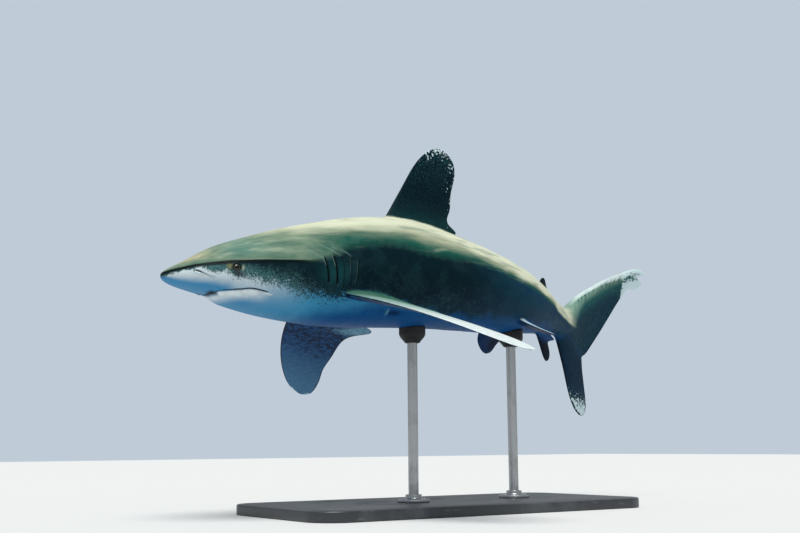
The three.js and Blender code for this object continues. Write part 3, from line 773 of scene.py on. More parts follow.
def relax(points, pairs, weights, passes):  # moves points towards the middle of their neighbours
    count = np.bincount(pairs.ravel(), minlength=len(points)).astype(float)
    for _ in range(passes):
        total = np.zeros_like(points)
        for k in range(3):
            for a, b in (pairs.T, pairs.T[::-1]):
                total[:, k] += np.bincount(a, points[b, k], len(points))
        goal = total / np.maximum(count, 1)[:, None]
        points = points + (goal - points) * weights[:, None]
    return points


def makeSkin():
    bodyMesh, hollowShade = makeBody()
    print("body", len(bodyMesh.vertices), "points")
    finSets = [pairedFin(pairedPoses[n]) if n in pairedPoses else medianFin(shapeOf(n)) for n in finNames]
    sources = [readAll(bodyMesh.vertices, "co")] + [points * mm for points, _, _ in finSets]
    joined = unionOf(bodyMesh, finSets)
    print("joined", len(joined.vertices), "points")
    counts = [len(p) for p in sources]
    part = np.repeat(np.arange(len(sources)), counts)
    marks = np.vstack([np.zeros((counts[0], 3))] + [marks for _, _, marks in finSets])
    hollowShade = np.concatenate([hollowShade, np.zeros(sum(counts[1:]))])
    tree, points = searchTree(np.vstack(sources)), readAll(joined.vertices, "co")
    found = [tree.find(p)[1:] for p in points]
    nearest = np.array([f[0] for f in found])
    seam = points[np.array([f[1] for f in found]) > 2e-6]
    print("seam", len(seam), "points")
    seamTree = searchTree(seam)
    fromSeam = np.array([seamTree.find(p)[2] for p in points]) / mm
    weights = skinSettings["smoothShare"] * fall(fromSeam, 2, skinSettings["smoothReach"])
    pairs = readAll(joined.edges, "vertices", 2, np.int32)
    points = relax(points, pairs, weights, skinSettings["smoothPasses"])
    setPlaces(joined, points)
    known = {"part": part[nearest], "hollowShade": hollowShade[nearest], "fromSeam": fromSeam}
    known["chord"], known["outward"], known["face"] = marks[nearest].T
    known["straight"] = straightened(points / mm)
    return joined, known


skinMesh, known = makeSkin()
triangles = sum(len(p.vertices) - 2 for p in skinMesh.polygons)
print("skin", len(skinMesh.vertices), "points", triangles, "triangles")

# where each colour of the skin lies over its length, in millimetres
skinPlan = {
    # lower edge of the olive back, and of the paler tan above it, partly painted sunlight: along, up
    "oliveLine": [
        (0, 5), (17, 10), (36, 13.8), (69, 19.9), (103, 23.6), (151, 27.6), (202, 28.7), (255, 29.8),
        (366, 29.5), (410, 35), (450, 56), (500, 77), (565, 89), (625, 94), (690, 86), (760, 69),
        (835, 66), (905, 63), (985, 52), (1065, 37), (1180, 13), (1330, -6), (1606, -15),
    ],
    "oliveSoft": [
        (0, 1.3), (330, 1.5), (390, 6), (450, 14), (560, 20), (760, 17), (900, 14), (1080, 10), (1237, 7),
        (1606, 5),
    ],
    "tanLine": [
        (0, 16), (69, 38), (150, 74), (255, 98), (358, 114), (495, 128), (587, 128), (690, 124),
        (739, 110), (843, 96), (963, 82), (1018, 64), (1080, 50), (1180, 25), (1330, 2), (1606, -9),
    ],
    "tanSoft": [(0, 10), (150, 24), (700, 24), (1018, 14), (1180, 7), (1606, 5)],
    # how far below the dark line the flank stays dark
    "darkReach": [
        (0, 5), (100, 9), (160, 15), (215, 26), (270, 50), (330, 90), (400, 170), (470, 420), (2200, 420),
    ],
    "bellyLine": [
        (0, 1), (34, 4), (78, 8), (112, 4), (136, -2), (160, -9), (186, -15), (231, -26), (281, -40),
        (343, -64), (432, -72), (475, -67), (560, -68), (654, -78), (735, -94), (799, -104), (899, -108),
        (1025, -106), (1104, -100), (1228, -90), (1441, -72), (1606, -66), (2200, -400),
    ],
    # half the width of the speckled border between flank and belly
    "bellyGrain": [
        (0, 9), (100, 14), (190, 30), (250, 46), (340, 60), (430, 50), (480, 30), (600, 14), (900, 7),
        (2200, 6),
    ],
    "bellySoft": [(0, 2.5), (500, 2.5), (620, 7), (900, 16), (1500, 18), (2200, 12)],
    # lower edge of the cream along the top, a painted highlight
    "creamLine": [
        (0, 20), (70, 56), (150, 94), (260, 124), (380, 130), (520, 141), (700, 148), (830, 141),
        (900, 112), (985, 86), (1080, 60), (1180, 34), (1237, 22), (1330, 8), (1470, -3), (1606, -8),
    ],
    "highlightSoft": [(0, 14), (200, 22), (800, 28), (900, 18), (1080, 12), (1237, 8), (1606, 6)],
    # how far painted shade has darkened the belly from white
    "bellyShadeShare": [
        (0, 0), (150, 0.08), (230, 0.17), (300, 0.33), (380, 0.56), (480, 0.82), (620, 0.97), (2200, 1),
    ],
}
# small marks on the head and behind the front fins: place (along, up), half length, half height, tilt,
# colour, strength; the pale crescent behind the eye, the pale lobe under the nostril and the pale streak
# under the mouth's corner are painted highlights, and the dark along the nostril, the dark wedge at the
# mouth's front and the dark patch on the belly behind the front fins are painted shade
marksAndPaintedLight = [
    ((150, 13), 9, 7, 0, (128, 126, 78), 0.75), ((172, -9), 15, 7, -14, (20, 28, 30), 0.8),
    ((166, 10), 14.5, 13, 0, (17, 22, 23), 0.93), ((181.5, 8), 3.0, 8, -12, (168, 172, 152), 0.85),
    ((156, 24), 12, 3, 14, (24, 32, 32), 0.5), ((88, -10), 9, 3, -28, (214, 220, 218), 0.85),
    ((72, 5), 9, 3, -12, (30, 38, 40), 0.6), ((17, 0), 6, 3, 0, (60, 66, 68), 0.7),
    ((121.5, -51.2), 9, 3.4, -25, (4, 20, 40), 0.95), ((652, -106), 28, 7.5, 0, (4, 28, 66), 0.8),
    ((626, -106), 3, 11, -10, (100, 168, 196), 0.75), ((251, -60), 13, 2.4, -13, (226, 232, 232), 0.85),
]
# among these, the blue-grey whites, the lower flank's blue, the fins' blue undersides, the dark dorsal fins
# and the near-black of recesses are painted shade, and the cream is a painted highlight
skinColours = {
    "white": (196, 210, 216), "whiteShadeLow": (60, 130, 174), "whiteShadeMid": (60, 140, 180),
    "whiteShadeRear": (14, 76, 132), "flankPale": (40, 84, 86), "flankFleck": (106, 140, 142),
    "flank": (0, 24, 32), "flankShadeLow": (2, 30, 50), "flankRear": (8, 56, 82), "headLine": (0, 14, 18),
    "olive": (104, 126, 108), "oliveDeep": (22, 78, 68), "tan": (158, 163, 138),
    "tanDeep": (120, 134, 112), "creamHighlight": (198, 202, 180), "warm": (182, 176, 146), "teal": (70, 118, 112),
    "tipWhite": (190, 212, 216), "rimDark": (4, 14, 28), "mottleDark": (12, 34, 60),
    "frost": (48, 104, 112), "hollowShade": (2, 6, 8), "tailPatch": (18, 84, 76), "shadedFin": (2, 24, 34),
    "shadedFinBase": (10, 46, 50), "greenRoot": (48, 92, 78), "paleTop": (122, 152, 146),
    "paleTip": (206, 216, 218), "blueShade": (16, 70, 120), "paleUnderShade": (84, 134, 168),
    "cornerUnder": (116, 168, 194), "pelvicTop": (170, 192, 200), "pelvicUnderShade": (20, 54, 96),
    "analDark": (6, 16, 34), "tailDark": (4, 44, 62), "tailLow": (4, 34, 58),
    "tailCream": (118, 150, 136), "tailGreen": (40, 92, 86), "tailBar": (48, 92, 88),
    "tailWhite": (200, 216, 216),
}
skinFinish = {"roughness": 0.55, "grainScale": 900, "grainHeight": 0.16}


def linear(colour):  # 0-255 screen colours, or the name of one of the skin's, to the shader's own
    c = np.array(skinColours[colour] if isinstance(colour, str) else colour, float) / 255
    return np.where(c <= 0.04045, c / 12.92, ((c + 0.055) / 1.055) ** 2.4)


class Coat:  # colours laid one over the other, as a tint and how much of it shows, and other fields
    def __init__(self, count):
        self.tint, self.amount = np.zeros((count, 3)), np.zeros(count)
        starts = {"whiteAway": -99.0, "rimAway": 99.0, "tipGrain": 16.0, "mottle": 0.0, "frost": 0.0}
        self.fields = {key: np.full(count, value) for key, value in starts.items()}

    def lay(self, colour, strength):
        strength = np.clip(strength, 0, 1)
        colour = colour if isinstance(colour, np.ndarray) else linear(colour)
        total = self.amount * (1 - strength) + strength
        share = (strength / np.maximum(total, 1e-6))[:, None]
        self.tint = self.tint * (1 - share) + colour * share
        self.amount = total

    def put(self, here, **fields):
        for key, value in fields.items():
            self.fields[key] = np.where(here, value, self.fields[key])


def between(a, b, share):  # from one screen colour to another
    share = np.clip(share, 0, 1)[:, None]
    return linear(a) * (1 - share) + linear(b) * share


def paintHead(coat, along, across, up, onSide):
    for place, *size, colour, strength in marksAndPaintedLight:
        coat.lay(colour, strength * np.exp(-(ovalAway(along, up, place, *size) ** 3)) * onSide)
    coat.lay(gills["between"], 0.4 * bump(along - 440, 46) * bump(up + 4, 34) * onSide)
    away, _, share = fromLine(along, up, nostril["groove"])
    coat.lay(nostril["shade"], 0.9 * bump(away, 2.2) * (1 - 0.7 * share) * onSide)
    # a painted highlight along the top of the lower jaw, held back from the mouth's front, which stays in
    # shade
    away, underLip, _ = mouthDistance(along, across, up)
    paintedJawHighlight = 0.9 * ramp(-underLip * away, 0.5, 3.5 + 12 * jawFront(across))
    coat.lay(jaw["paintedJawHighlight"], paintedJawHighlight * fall(away, 6, 36) * fall(along, 205, 268))
    # painted highlights on the upper part of the gill slits' front lips
    for slit, highlightFrom, lipShown in zip(gills["slits"], gills["highlightFrom"], gills["lipShown"]):
        past, fade = slitMeasures(along, up, slit)
        high = ramp(up, highlightFrom - 4, highlightFrom + 6)
        coat.lay(gills["lipHighlight"], lipShown * fade * bump(past + 1.6, 1.7) * high * onSide)
    # painted highlights along the crests of the gill folds
    for line, rise in zip(gillFolds["lines"], gillFolds["rise"]):
        away, side, share = fromLine(along, up, line)
        crest = bump(away * side - gillFolds["crest"], gillFolds["highlightWidth"])
        crest = crest * np.sin(pi * np.clip(share, 0, 1))
        coat.lay(gills["lipHighlight"], 0.36 * rise * crest * onSide)


tailPlan = {
    "slope": 0.86, "whiteFrom": 368,
    "creamWidth": [(-60, 70), (0, 66), (60, 48), (130, 27), (300, 15), (440, 18)],
    "whiteWidth": [(0, 6), (120, 8), (250, 11), (340, 17), (400, 24), (440, 30)],
    "patches": [((396, 25), 30, 9), ((428, 18), 12, 3), ((424, 34), 12, 2.5), ((408, 9), 7, 3)],
}


def paintTail(coat, rearward, fromTop, fromBottom, onTail):
    onLobe = ramp(rearward, -30, 60) * onTail
    creamHighlight, white = (lineThrough(tailPlan[key])(rearward) for key in ("creamWidth", "whiteWidth"))
    coat.lay("tailDark", onLobe * ramp(fromTop, 14, 40))
    coat.lay("tailGreen", 0.75 * onLobe * fall(fromTop, 24, 84))
    coat.lay("tailCream", onLobe * fall(fromTop, 0.3 * creamHighlight, 1.35 * creamHighlight))
    coat.lay("tailWhite", onLobe * ramp(rearward, 20, 120) * fall(fromTop, 0.7 * white, 1.3 * white))
    tip = rearward - tailPlan["whiteFrom"]
    for place, *size in tailPlan["patches"]:
        away = ovalAway(rearward, fromTop, place, *size)
        coat.lay("tailPatch", onTail * fall(away, 0.8, 1.1))
        tip = np.minimum(tip, size[1] * (away - 1))
    coat.put(onTail, frost=0.35 * onLobe)
    coat.put(onTail & (rearward > 300), whiteAway=tip)
    coat.put(onTail & (rearward > 150), rimAway=fromBottom)


def paintFin(coat, name, here, known, finHeight, onFin):
    chord, outward, face = (known[key] for key in ("chord", "outward", "face"))
    fin, share = shapeOf(name), onFin * here
    height = fin["apex"][1]
    angle = np.arcsin(np.clip(outward / height, -1, 1))
    front, rear = (edgeCurve(fin, edge)[1](angle) for edge in ("leading", "trailing"))
    width = np.maximum(rear - front, 1)
    fromFront, fromRear = chord * width, (1 - chord) * width
    fromEdge = np.minimum(fromFront, fromRear)
    span = outward / fin["length"] if "length" in fin else np.clip(outward / height, 0, 1)
    isTop = face > 0 if name.endswith("Left") else face < 0
    onTop, under, hereUnder = share * isTop, share * ~isTop, here & ~isTop
    # the dorsal fins' dark teal is painted shade over the fins' own bronze-grey
    if name == "firstDorsal":
        coat.lay(between("shadedFinBase", "shadedFin", span * 3), share)
        white = np.maximum((outward - 262) * 0.4, -4 - 0.3 * fromRear - 0.06 * (height - outward))
        coat.put(here, whiteAway=white, tipGrain=36, frost=0.08 + 0.34 * ramp(outward, 110, 240))
    elif name == "secondDorsal":
        coat.lay(between("shadedFinBase", "shadedFin", span * 1.5), share)
    elif name == "anal":
        # the anal fin's base is in painted blue shade
        coat.lay(between("blueShade", "analDark", ramp(span, 0.05, 0.45)), share)
        coat.put(here, rimAway=fromEdge)
    elif name == "lowerLobe":
        coat.lay(between("tailDark", "tailLow", span * 2), share * ramp(finHeight, 0, 30))
        white = np.minimum(0.5 * (outward - 212), np.minimum(fromFront - 14, fromRear - 3))
        coat.put(here, whiteAway=white, tipGrain=30, frost=0.4 * ramp(outward, 90, 230))
        coat.put(here & (outward > 30), rimAway=fromEdge)
    elif name.startswith("pectoral"):
        whiter = ramp(span, 0.2, 0.75)[:, None]
        top = between("greenRoot", "paleTop", ramp(span, 0.0, 0.22)) * (1 - whiter)
        coat.lay(top + linear("paleTip") * whiter, onTop)
        # the underside, its corner too, is painted in blue shade, paler towards the tip
        coat.lay(between("blueShade", "paleUnderShade", ramp(span, 0.3, 0.9) * 0.6), under)
        spotAway = np.hypot((chord - 0.73) * width / 5, (outward - 275) / 7)
        coat.lay("analDark", under * fall(spotAway, 0.6, 1.2) * 0.8)
        corner = ramp(chord, 0.5, 0.85) * fall(outward, 70, 120)
        coat.lay("cornerUnder", 0.9 * under * corner)
        edge = np.minimum(fromFront, fromRear + 1.5)
        white = np.minimum(outward - 512, 10 - edge)
        coat.put(hereUnder, mottle=fall(span, 0.3, 0.6) * (1 - 0.8 * corner) * onFin, whiteAway=white)
        coat.put(hereUnder & (outward < 490), rimAway=edge)
    else:
        # top in painted blue shade with a pale front edge, underside in painted blue shade
        coat.lay("blueShade", onTop)
        coat.lay("pelvicTop", onTop * fall(chord, 0.1, 0.2))
        coat.lay("pelvicUnderShade", under)
        coat.lay("analDark", under * bump(chord - 0.72, 0.2) * bump(span - 0.4, 0.3) * 0.85)
        coat.put(hereUnder, rimAway=(1 - chord) * 60)


def skinFields(known):
    along, across, up = known["straight"].T
    isBody, rearward = known["part"] == 0, along - body["end"]
    coat = Coat(len(along))
    paintHead(coat, along, across, up, isBody & (np.abs(across) > 20) & (along < 700))
    onTail = isBody & (rearward > -60)
    fromTop = (lobeTopAt(rearward) - up) * tailPlan["slope"]
    fromBottom = (up - lobeBottomAt(rearward)) * tailPlan["slope"]
    paintTail(coat, rearward, fromTop, fromBottom, onTail)
    finHeight = np.where(isBody, -known["fromSeam"], known["fromSeam"])
    for number, name in enumerate(finNames, 1):
        paintFin(coat, name, known["part"] == number, known, finHeight, ramp(finHeight, -1, 5))

    lines = {key: lineThrough(points)(along) for key, points in skinPlan.items()}
    fields = {key.replace("Line", "Away"): up - x if key.endswith("Line") else x for key, x in lines.items()}
    fromOlive, darkReach = fields["oliveAway"], fields.pop("darkReach")
    onBars = onTail * ramp(rearward, 30, 70) * fall(rearward, 350, 400)
    return {
        **fields,
        **coat.fields,
        "straight": known["straight"] * mm,
        "darkShare": -fromOlive / darkReach,
        # how far down the side, for the painted shade on the underside; it comes on sooner on the snout
        "underShadeShare": -up / np.maximum(sectionAt(along)[2], 1) * (1 + 0.28 * fall(along, 60, 280)),
        "flankRear": 0.9 * ramp(along, 850, 1300),
        "rearShare": ramp(along, 370, 500),
        "tealHead": 0.5 * bump(along - 190, 75) * ramp(fromOlive, 0, 30),
        "warmSnout": 0.75 * bump(along - 74, 44) * ramp(fromOlive, 6, 26),
        "headLine": fall(along, 330, 430),
        "tint": coat.tint,
        "tintAmount": coat.amount,
        "hollowShade": known["hollowShade"] * (along < 560),
        "tailPlace": np.stack([rearward, fromTop, onBars], -1),
    }


for fieldName, fieldValues in skinFields(known).items():
    addField(skinMesh, fieldName, fieldValues)
print("skin colours laid out")

# the node tree that is being drawn, and the nodes it is drawn with
drawing = {}


class Wire:  # a node's output, so that sums can be written as sums
    def __init__(self, socket):
        self.socket = socket

    def __add__(self, other):
        return maths("ADD", self, other)

    def __mul__(self, other):
        return maths("MULTIPLY", self, other)

    def __truediv__(self, other):
        return maths("DIVIDE", self, other)


def addNode(kind, inputs=None, **settings):
    node = drawing["tree"].nodes.new(kind)
    for key, value in settings.items():
        setattr(node, key, value)
    for key, value in (inputs or {}).items():
        if isinstance(value, Wire):
            drawing["tree"].links.new(value.socket, node.inputs[key])
        else:
            node.inputs[key].default_value = value
    return node


def wire(kind, inputs=None, output=0, **settings):
    return Wire(addNode(kind, inputs, **settings).outputs[output])


def field(name, output="Fac"):
    return wire("ShaderNodeAttribute", output=output, attribute_name=name)


def maths(operation, a, b=0.0, clamp=False):
    return wire("ShaderNodeMath", {0: a, 1: b}, operation=operation, use_clamp=clamp)


def vectorMaths(operation, a, b=(0, 0, 0), output=0):
    return wire("ShaderNodeVectorMath", {0: a, 1: b}, output, operation=operation)


def fade(value, start, end, low=0.0, high=1.0):  # eased, and held at its ends
    inputs = {"Value": value, "From Min": start, "From Max": end, "To Min": low, "To Max": high}
    return wire("ShaderNodeMapRange", inputs, interpolation_type="SMOOTHSTEP")


def sway(value, most):  # a noise, as a number from -most to most
    return fade(value, 0.3, 0.7, -most, most)


def asColour(value):
    return value if isinstance(value, Wire) else (*linear(value), 1)


def layered(colour, *coats):  # coats of (share, colour) over a first colour
    for share, coat in coats:
        inputs = {0: share, 6: asColour(colour), 7: asColour(coat)}
        colour = wire("ShaderNodeMix", inputs, 2, data_type="RGBA")
    return colour


def noise(vector, scale, detail=3.0, roughness=0.55):
    inputs = {"Vector": vector, "Scale": scale, "Detail": detail, "Roughness": roughness}
    return wire("ShaderNodeTexNoise", inputs)


def stretched(vector, scale):
    return wire("ShaderNodeMapping", {"Vector": vector, "Scale": scale})


def raised(height, distance, strength):
    return wire("ShaderNodeBump", {"Height": height, "Distance": distance, "Strength": strength})


def startMaterial(name):
    material = bpy.data.materials.new(name)
    material.use_nodes = True
    material.node_tree.nodes.clear()
    drawing["tree"] = material.node_tree
    return material


def finishMaterial(colour, gloss, more):
    shader = wire("ShaderNodeBsdfPrincipled", {"Base Color": colour, "Roughness": gloss, **more})
    addNode("ShaderNodeOutputMaterial", {"Surface": shader})


def startGroup(name, inputs, outputs):
    group = drawing["tree"] = bpy.data.node_groups.new(name, "ShaderNodeTree")
    for socketName, default in inputs.items():
        kind = "NodeSocketVector" if default is None else "NodeSocketFloat"
        socket = group.interface.new_socket(socketName, in_out="INPUT", socket_type=kind)
        if default is not None:
            socket.default_value = default
    for socketName in outputs:
        group.interface.new_socket(socketName, in_out="OUTPUT", socket_type="NodeSocketFloat")
    given = group.nodes.new("NodeGroupInput").outputs
    return group, {socket.name: Wire(socket) for socket in given}


# a mask whose edge is broken up: Away is the distance in millimetres, above 0 inside
edgeInputs = {"Away": 0.0, "Softness": 2.0, "Ragged": 8.0, "Scale": 150.0, "Vector": None}
raggedEdge, given = startGroup("raggedEdge", edgeInputs, ["Mask"])
grain = noise(given["Vector"], given["Scale"], 4.0, 0.62)
away = given["Away"] + (grain + -0.5) * given["Ragged"] * 3.2
addNode("NodeGroupOutput", {"Mask": maths("ADD", away / (given["Softness"] * 2.0), 0.5, True)})

# faint scuffs and dust: where a surface has been handled
handled, given = startGroup("handled", {"Vector": None, "Scale": 30.0, "Amount": 0.3}, ["Dust", "Scuffs"])
cloud = noise(given["Vector"], given["Scale"], 5.0, 0.6)
lines = noise(stretched(given["Vector"], (2.0, 40.0, 14.0)), given["Scale"], 2.0, 0.5)
dust, scuffs = (fade(*mask) * given["Amount"] for mask in ((cloud, 0.45, 0.75), (lines, 0.66, 0.72)))
addNode("NodeGroupOutput", {"Dust": dust, "Scuffs": scuffs})


def ragged(place, away, softness, rough, scale):
    inputs = {"Vector": place, "Away": away, "Softness": softness, "Ragged": rough, "Scale": scale}
    return wire("ShaderNodeGroup", inputs, "Mask", node_tree=raggedEdge)


def makeSkinMaterial():
    material = startMaterial("skinPaint")
    place = field("straight", "Vector")
    broad, middle, fine = noise(place, 16, 4), noise(place, 70, 4, 0.6), noise(place, 520, 3, 0.65)
    streaks = noise(stretched(place, (3, 15, 15)), 2.6, 3, 0.5)
    bands = noise(stretched(place, (2, 11, 13)), 3.4, 2, 0.5)

    # flank: dark under the back's edge, partly painted shade there, paler and flecked lower on the head,
    # bluer
    #     # below where painted shade lies, and bluer behind
    dark = fade(field("darkShare") + sway(middle, 0.14) + sway(fine, 0.22), 0.3, 1.1, 1, 0)
    flecks = (fade(fine, 0.5, 0.64, 0, 0.7), "flankFleck"), (fade(fine, 0.36, 0.48, 0.8, 0), "flank")
    lowerShade = field("underShadeShare") + sway(broad, 0.06)
    deep = layered(
        "flank",
        (fade(lowerShade, 0.0, 0.8), "flankShadeLow"),
        (field("flankRear"), "flankRear"),
        (fade(broad, 0.42, 0.62, 0, 0.1), "flankPale"),
        (fade(fine, 0.54, 0.7, 0, 0.12), "flankPale"),
    )
    flank = layered(layered("flankPale", *flecks), (dark, deep))

    # white belly, darkened and turned blue by painted shade lower down and towards the rear, and the speckled
    #     # border above it
    bellyShadeShare = field("bellyShadeShare")
    shadowed = bellyShadeShare + fade(lowerShade, 0.45, 1.05, -0.25, 0.25)
    white = layered(
        "white",
        (fade(lowerShade, 0.3, 1.0), "whiteShadeLow"),
        (fade(bellyShadeShare, 0, 0.6), "whiteShadeMid"),
        (fade(shadowed, 0.45, 1), "whiteShadeRear"),
    )
    border = field("bellyAway") + sway(noise(place, 22, 3), 8), field("bellySoft"), field("bellyGrain")
    coarse, finest = (ragged(place, *border, scale) for scale in (150.0, 380.0))
    colour = layered(white, ((coarse + finest) * 0.5, flank))

    # olive back, tan over it and cream along the top; the tan is partly painted sunlight, the cream a painted
    #     # highlight
    patchy = maths("ADD", field("rearShare"), fade(broad, 0.38, 0.62, -0.1, 0.3), True)
    tanShare = field("tanAway") / field("tanSoft") + sway(streaks, 0.35)
    highlightShare = (field("creamAway") + sway(streaks, 9)) / field("highlightSoft")
    back = layered(
        "olive",
        (patchy, "oliveDeep"),
        (fade(tanShare, -1.2, 1.2), layered("tan", (fade(streaks, 0.42, 0.64), "tanDeep"))),
        (fade(highlightShare, -1, 1), "creamHighlight"),
        (field("warmSnout"), "warm"),
        (field("tealHead"), "teal"),
        (fade(bands, 0.46, 0.7, 0, 0.4), "oliveDeep"),
        (fade(bands, 0.44, 0.26, 0, 0.24), "creamHighlight"),
        (fade(fine, 0.5, 0.72, 0, 0.1), "oliveDeep"),
    )
    away, soft = field("oliveAway"), field("oliveSoft")
    # a crisp dark line under the back's edge on the head: partly pigment, partly painted shade where the side
    # turns from the light
    line = fade(away, -11, -2) * fade(away, 4.5, 0.5) * field("headLine")

    # bars along the front edge of the tail
    tail = addNode("ShaderNodeSeparateXYZ", {0: field("tailPlace", "Vector")}).outputs
    rearward, fromTop, onBars = (Wire(socket) for socket in tail)
    wave = rearward * 0.235 + fromTop * 0.11 + sway(noise(place, 34, 3), 1.9)
    bars = fade(maths("SINE", wave), -0.5, 0.9) * fade(fromTop, 6, 11) * (fade(fromTop, 44, 20) * onBars)
    bars = bars * fade(noise(place, 46, 2), 0.36, 0.6, 0.25, 0.85)

    # marks and fins, dark rims, white tips and the painted shade inside folds and slits
    tint = layered(field("tint", "Color"), (fade(middle, 0.35, 0.7, 0.0, 0.18), (0, 0, 0)))
    mottle = field("mottle")
    patches = ragged(place, mottle, 0.35, 0.9, 210.0) * fade(middle, 0.4, 0.6)
    colour = layered(
        colour,
        (ragged(place, away, soft, soft * 0.45, 60.0), back),
        (line, "headLine"),
        (field("tintAmount"), tint),
        (patches * mottle, "mottleDark"),
        (fade(noise(place, 190, 3, 0.65), 0.47, 0.64) * field("frost"), "frost"),
        (bars, "tailBar"),
        (ragged(place, maths("SUBTRACT", 4.6, field("rimAway")), 2.2, 2.2, 90.0) * 0.85, "rimDark"),
        (ragged(place, field("whiteAway"), 1.6, field("tipGrain"), 130.0), "tipWhite"),
        (fade(field("hollowShade"), 0.2, 0.75), "hollowShade"),
    )
    grain = noise(place, skinFinish["grainScale"], 2, 0.5) * skinFinish["grainHeight"]
    creases = noise(stretched(place, (30, 110, 110)), 1.0, 4, 0.6) * 0.5
    gloss = fade(middle, 0.3, 0.7, skinFinish["roughness"] - 0.06, skinFinish["roughness"] + 0.08)
    more = {"Specular IOR Level": 0.05, "Coat Weight": 0.02, "Coat Roughness": 0.3}
    finishMaterial(colour, gloss, {"Normal": raised(grain + creases, mm, 0.8), **more})
    return material


skinNodes = ["head", "lower_jaw", "trunk_front", "trunk_middle", "trunk_rear", "tail_stock"]
skinNodes += ["caudal_fin_upper", "caudal_fin_lower", "dorsal_fin_first", "dorsal_fin_second", "anal_fin"]
skinNodes += ["pectoral_fin_left", "pectoral_fin_right", "pelvic_fin_left", "pelvic_fin_right"]
addPiece(skinMesh, makeSkinMaterial(), "skin", *skinNodes)
print("skin in place")

eyeBall = {
    "rows": 56, "around": 72, "corneaRise": 0.7, "corneaAngle": 42, "pupil": 5.2, "iris": 8.1,
    "black": (4, 6, 8), "irisInner": (26, 28, 22), "irisOuter": (66, 66, 50), "irisRim": (10, 12, 12),
    "white": (40, 50, 50),
}


def eyeMesh(name, side):
    def surface(along, up):
        return np.array([along, side * float(halfWidthAt(along, up)), up])

    along, up, radius = eye["along"], eye["up"], eye["ballRadius"]
    rearward = surface(along + 1, up) - surface(along - 1, up)
    upward = surface(along, up + 1) - surface(along, up - 1)
    outward = np.cross(rearward, upward) * -side
    outward /= np.linalg.norm(outward)
    rearward /= np.linalg.norm(rearward)
    upward = np.cross(outward, rearward) * -side
    centre = surface(along, up) - outward * eye["ballDepth"]
    rows, around = eyeBall["rows"], eyeBall["around"]
    turns = 2 * pi * np.arange(around) / around
    rings = []
    for angle in pi * (np.arange(1, rows) / rows) ** 1.25:
        rise = eyeBall["corneaRise"] * max(0, 1 - (math.degrees(angle) / eyeBall["corneaAngle"]) ** 2) ** 1.5
        wide, ahead = (radius + rise) * math.sin(angle), (radius + rise) * math.cos(angle)
        rings.append(np.stack([wide * np.cos(turns), wide * np.sin(turns), np.full(around, ahead)], -1))
    gaze, faces = closedRings(rings, (0, 0, radius + eyeBall["corneaRise"]), (0, 0, -radius))
    mesh = meshFrom(name, posed(centre + gaze @ np.array([rearward, upward, outward])), faces)
    addField(mesh, "gaze", gaze)
    return mesh


def makeEyeMaterial():
    material = startMaterial("eyeWet")
    gaze = field("gaze", "Vector")
    flat = vectorMaths("MULTIPLY", gaze, (1, 1, 0))
    away = vectorMaths("LENGTH", flat, output="Value")
    pupilAway = vectorMaths("LENGTH", vectorMaths("MULTIPLY", gaze, (1.12, 0.9, 0)), output="Value")
    ringAway = away + sway(noise(stretched(vectorMaths("NORMALIZE", flat), (9, 9, 1)), 1.6, 4, 0.7), 0.5)
    pupil, irisEdge = eyeBall["pupil"], eyeBall["iris"]
    iris = layered(
        eyeBall["irisInner"],
        (fade(ringAway, pupil, 7.4), eyeBall["irisOuter"]),
        (fade(noise(gaze, 1.1, 3, 0.6), 0.45, 0.7, 0, 0.6), eyeBall["irisInner"]),
        (fade(ringAway, 7.3, irisEdge), eyeBall["irisRim"]),
    )
    colour = layered(
        eyeBall["black"],
        (fade(pupilAway, pupil - 0.3, pupil + 0.3), iris),
        (fade(away, irisEdge + 0.3, 10.2), eyeBall["white"]),
    )
    gloss = fade(noise(gaze, 0.35, 3), 0.4, 0.7) * 0.12 + 0.05
    finishMaterial(colour, gloss, {"Specular IOR Level": 0.2, "Coat Weight": 0.3, "Coat Roughness": 0.03})
    return material


eyeMaterial = makeEyeMaterial()
for side, sideName in ((-1, "left"), (1, "right")):
    addPiece(eyeMesh("eye" + sideName.title(), side), eyeMaterial, "eye", "eye_" + sideName)
print("eyes in place")

# stand: painted base, brushed rods and collars, rubber cups
standBase = {
    "length": 1180, "width": 560, "height": 30, "corner": 90, "edge": 5, "edgeSteps": 6,
    "cornerSteps": 20, "grooveIn": 20, "grooveWidth": 3, "grooveDepth": 1.4, "grooveFloor": 1,
    "grooveEase": (0.3, 0.2), "innerRing": 60, "colour": (50, 53, 58), "wornColour": (92, 96, 100),
}
standRod = {
    "radius": 15, "around": 72, "rings": 24, "clear": 0.3, "endCut": 0.7, "topCut": 1,
    "alongs": {"front": 792, "rear": 1200},
    "colour": (188, 190, 192), "shade": (150, 152, 155), "dust": (140, 140, 138),
}
standCollar = {
    "radius": 48, "flange": 8, "neck": 24, "height": 22, "coneOut": 1.5, "coneHigh": 3.5, "neckFrom": 6,
    "rounding": 1.6,
}
standCup = {
    "radius": 40, "depth": 34, "rim": 7, "sideDown": 6, "sideSteps": 18, "gap": 1.2, "flare": 1.6,
    "foldDepth": 1.5, "foldsAt": (0.22, 0.42), "foldWidth": 0.06, "colour": (30, 31, 33),
    "dust": (84, 84, 82),
}
rodBottom = standBase["height"] + standRod["clear"]
rodHole = standRod["radius"] + standRod["clear"]
rodInCup = 12  # how far the rod's top stays below the belly


def outlineRing(inset, up):
    halfLength, halfWidth = standBase["length"] / 2, standBase["width"] / 2
    corner, steps = standBase["corner"], standBase["cornerSteps"]
    ring = []
    for sideX, sideY, first in ((1, -1, -90), (1, 1, 0), (-1, 1, 90), (-1, -1, 180)):
        x, y = sideX * (halfLength - corner), sideY * (halfWidth - corner)
        for k in range(steps + 1):
            angle = math.radians(first + 90 * k / steps)
            ring.append((x + (corner - inset) * math.cos(angle), y + (corner - inset) * math.sin(angle), up))
    return ring


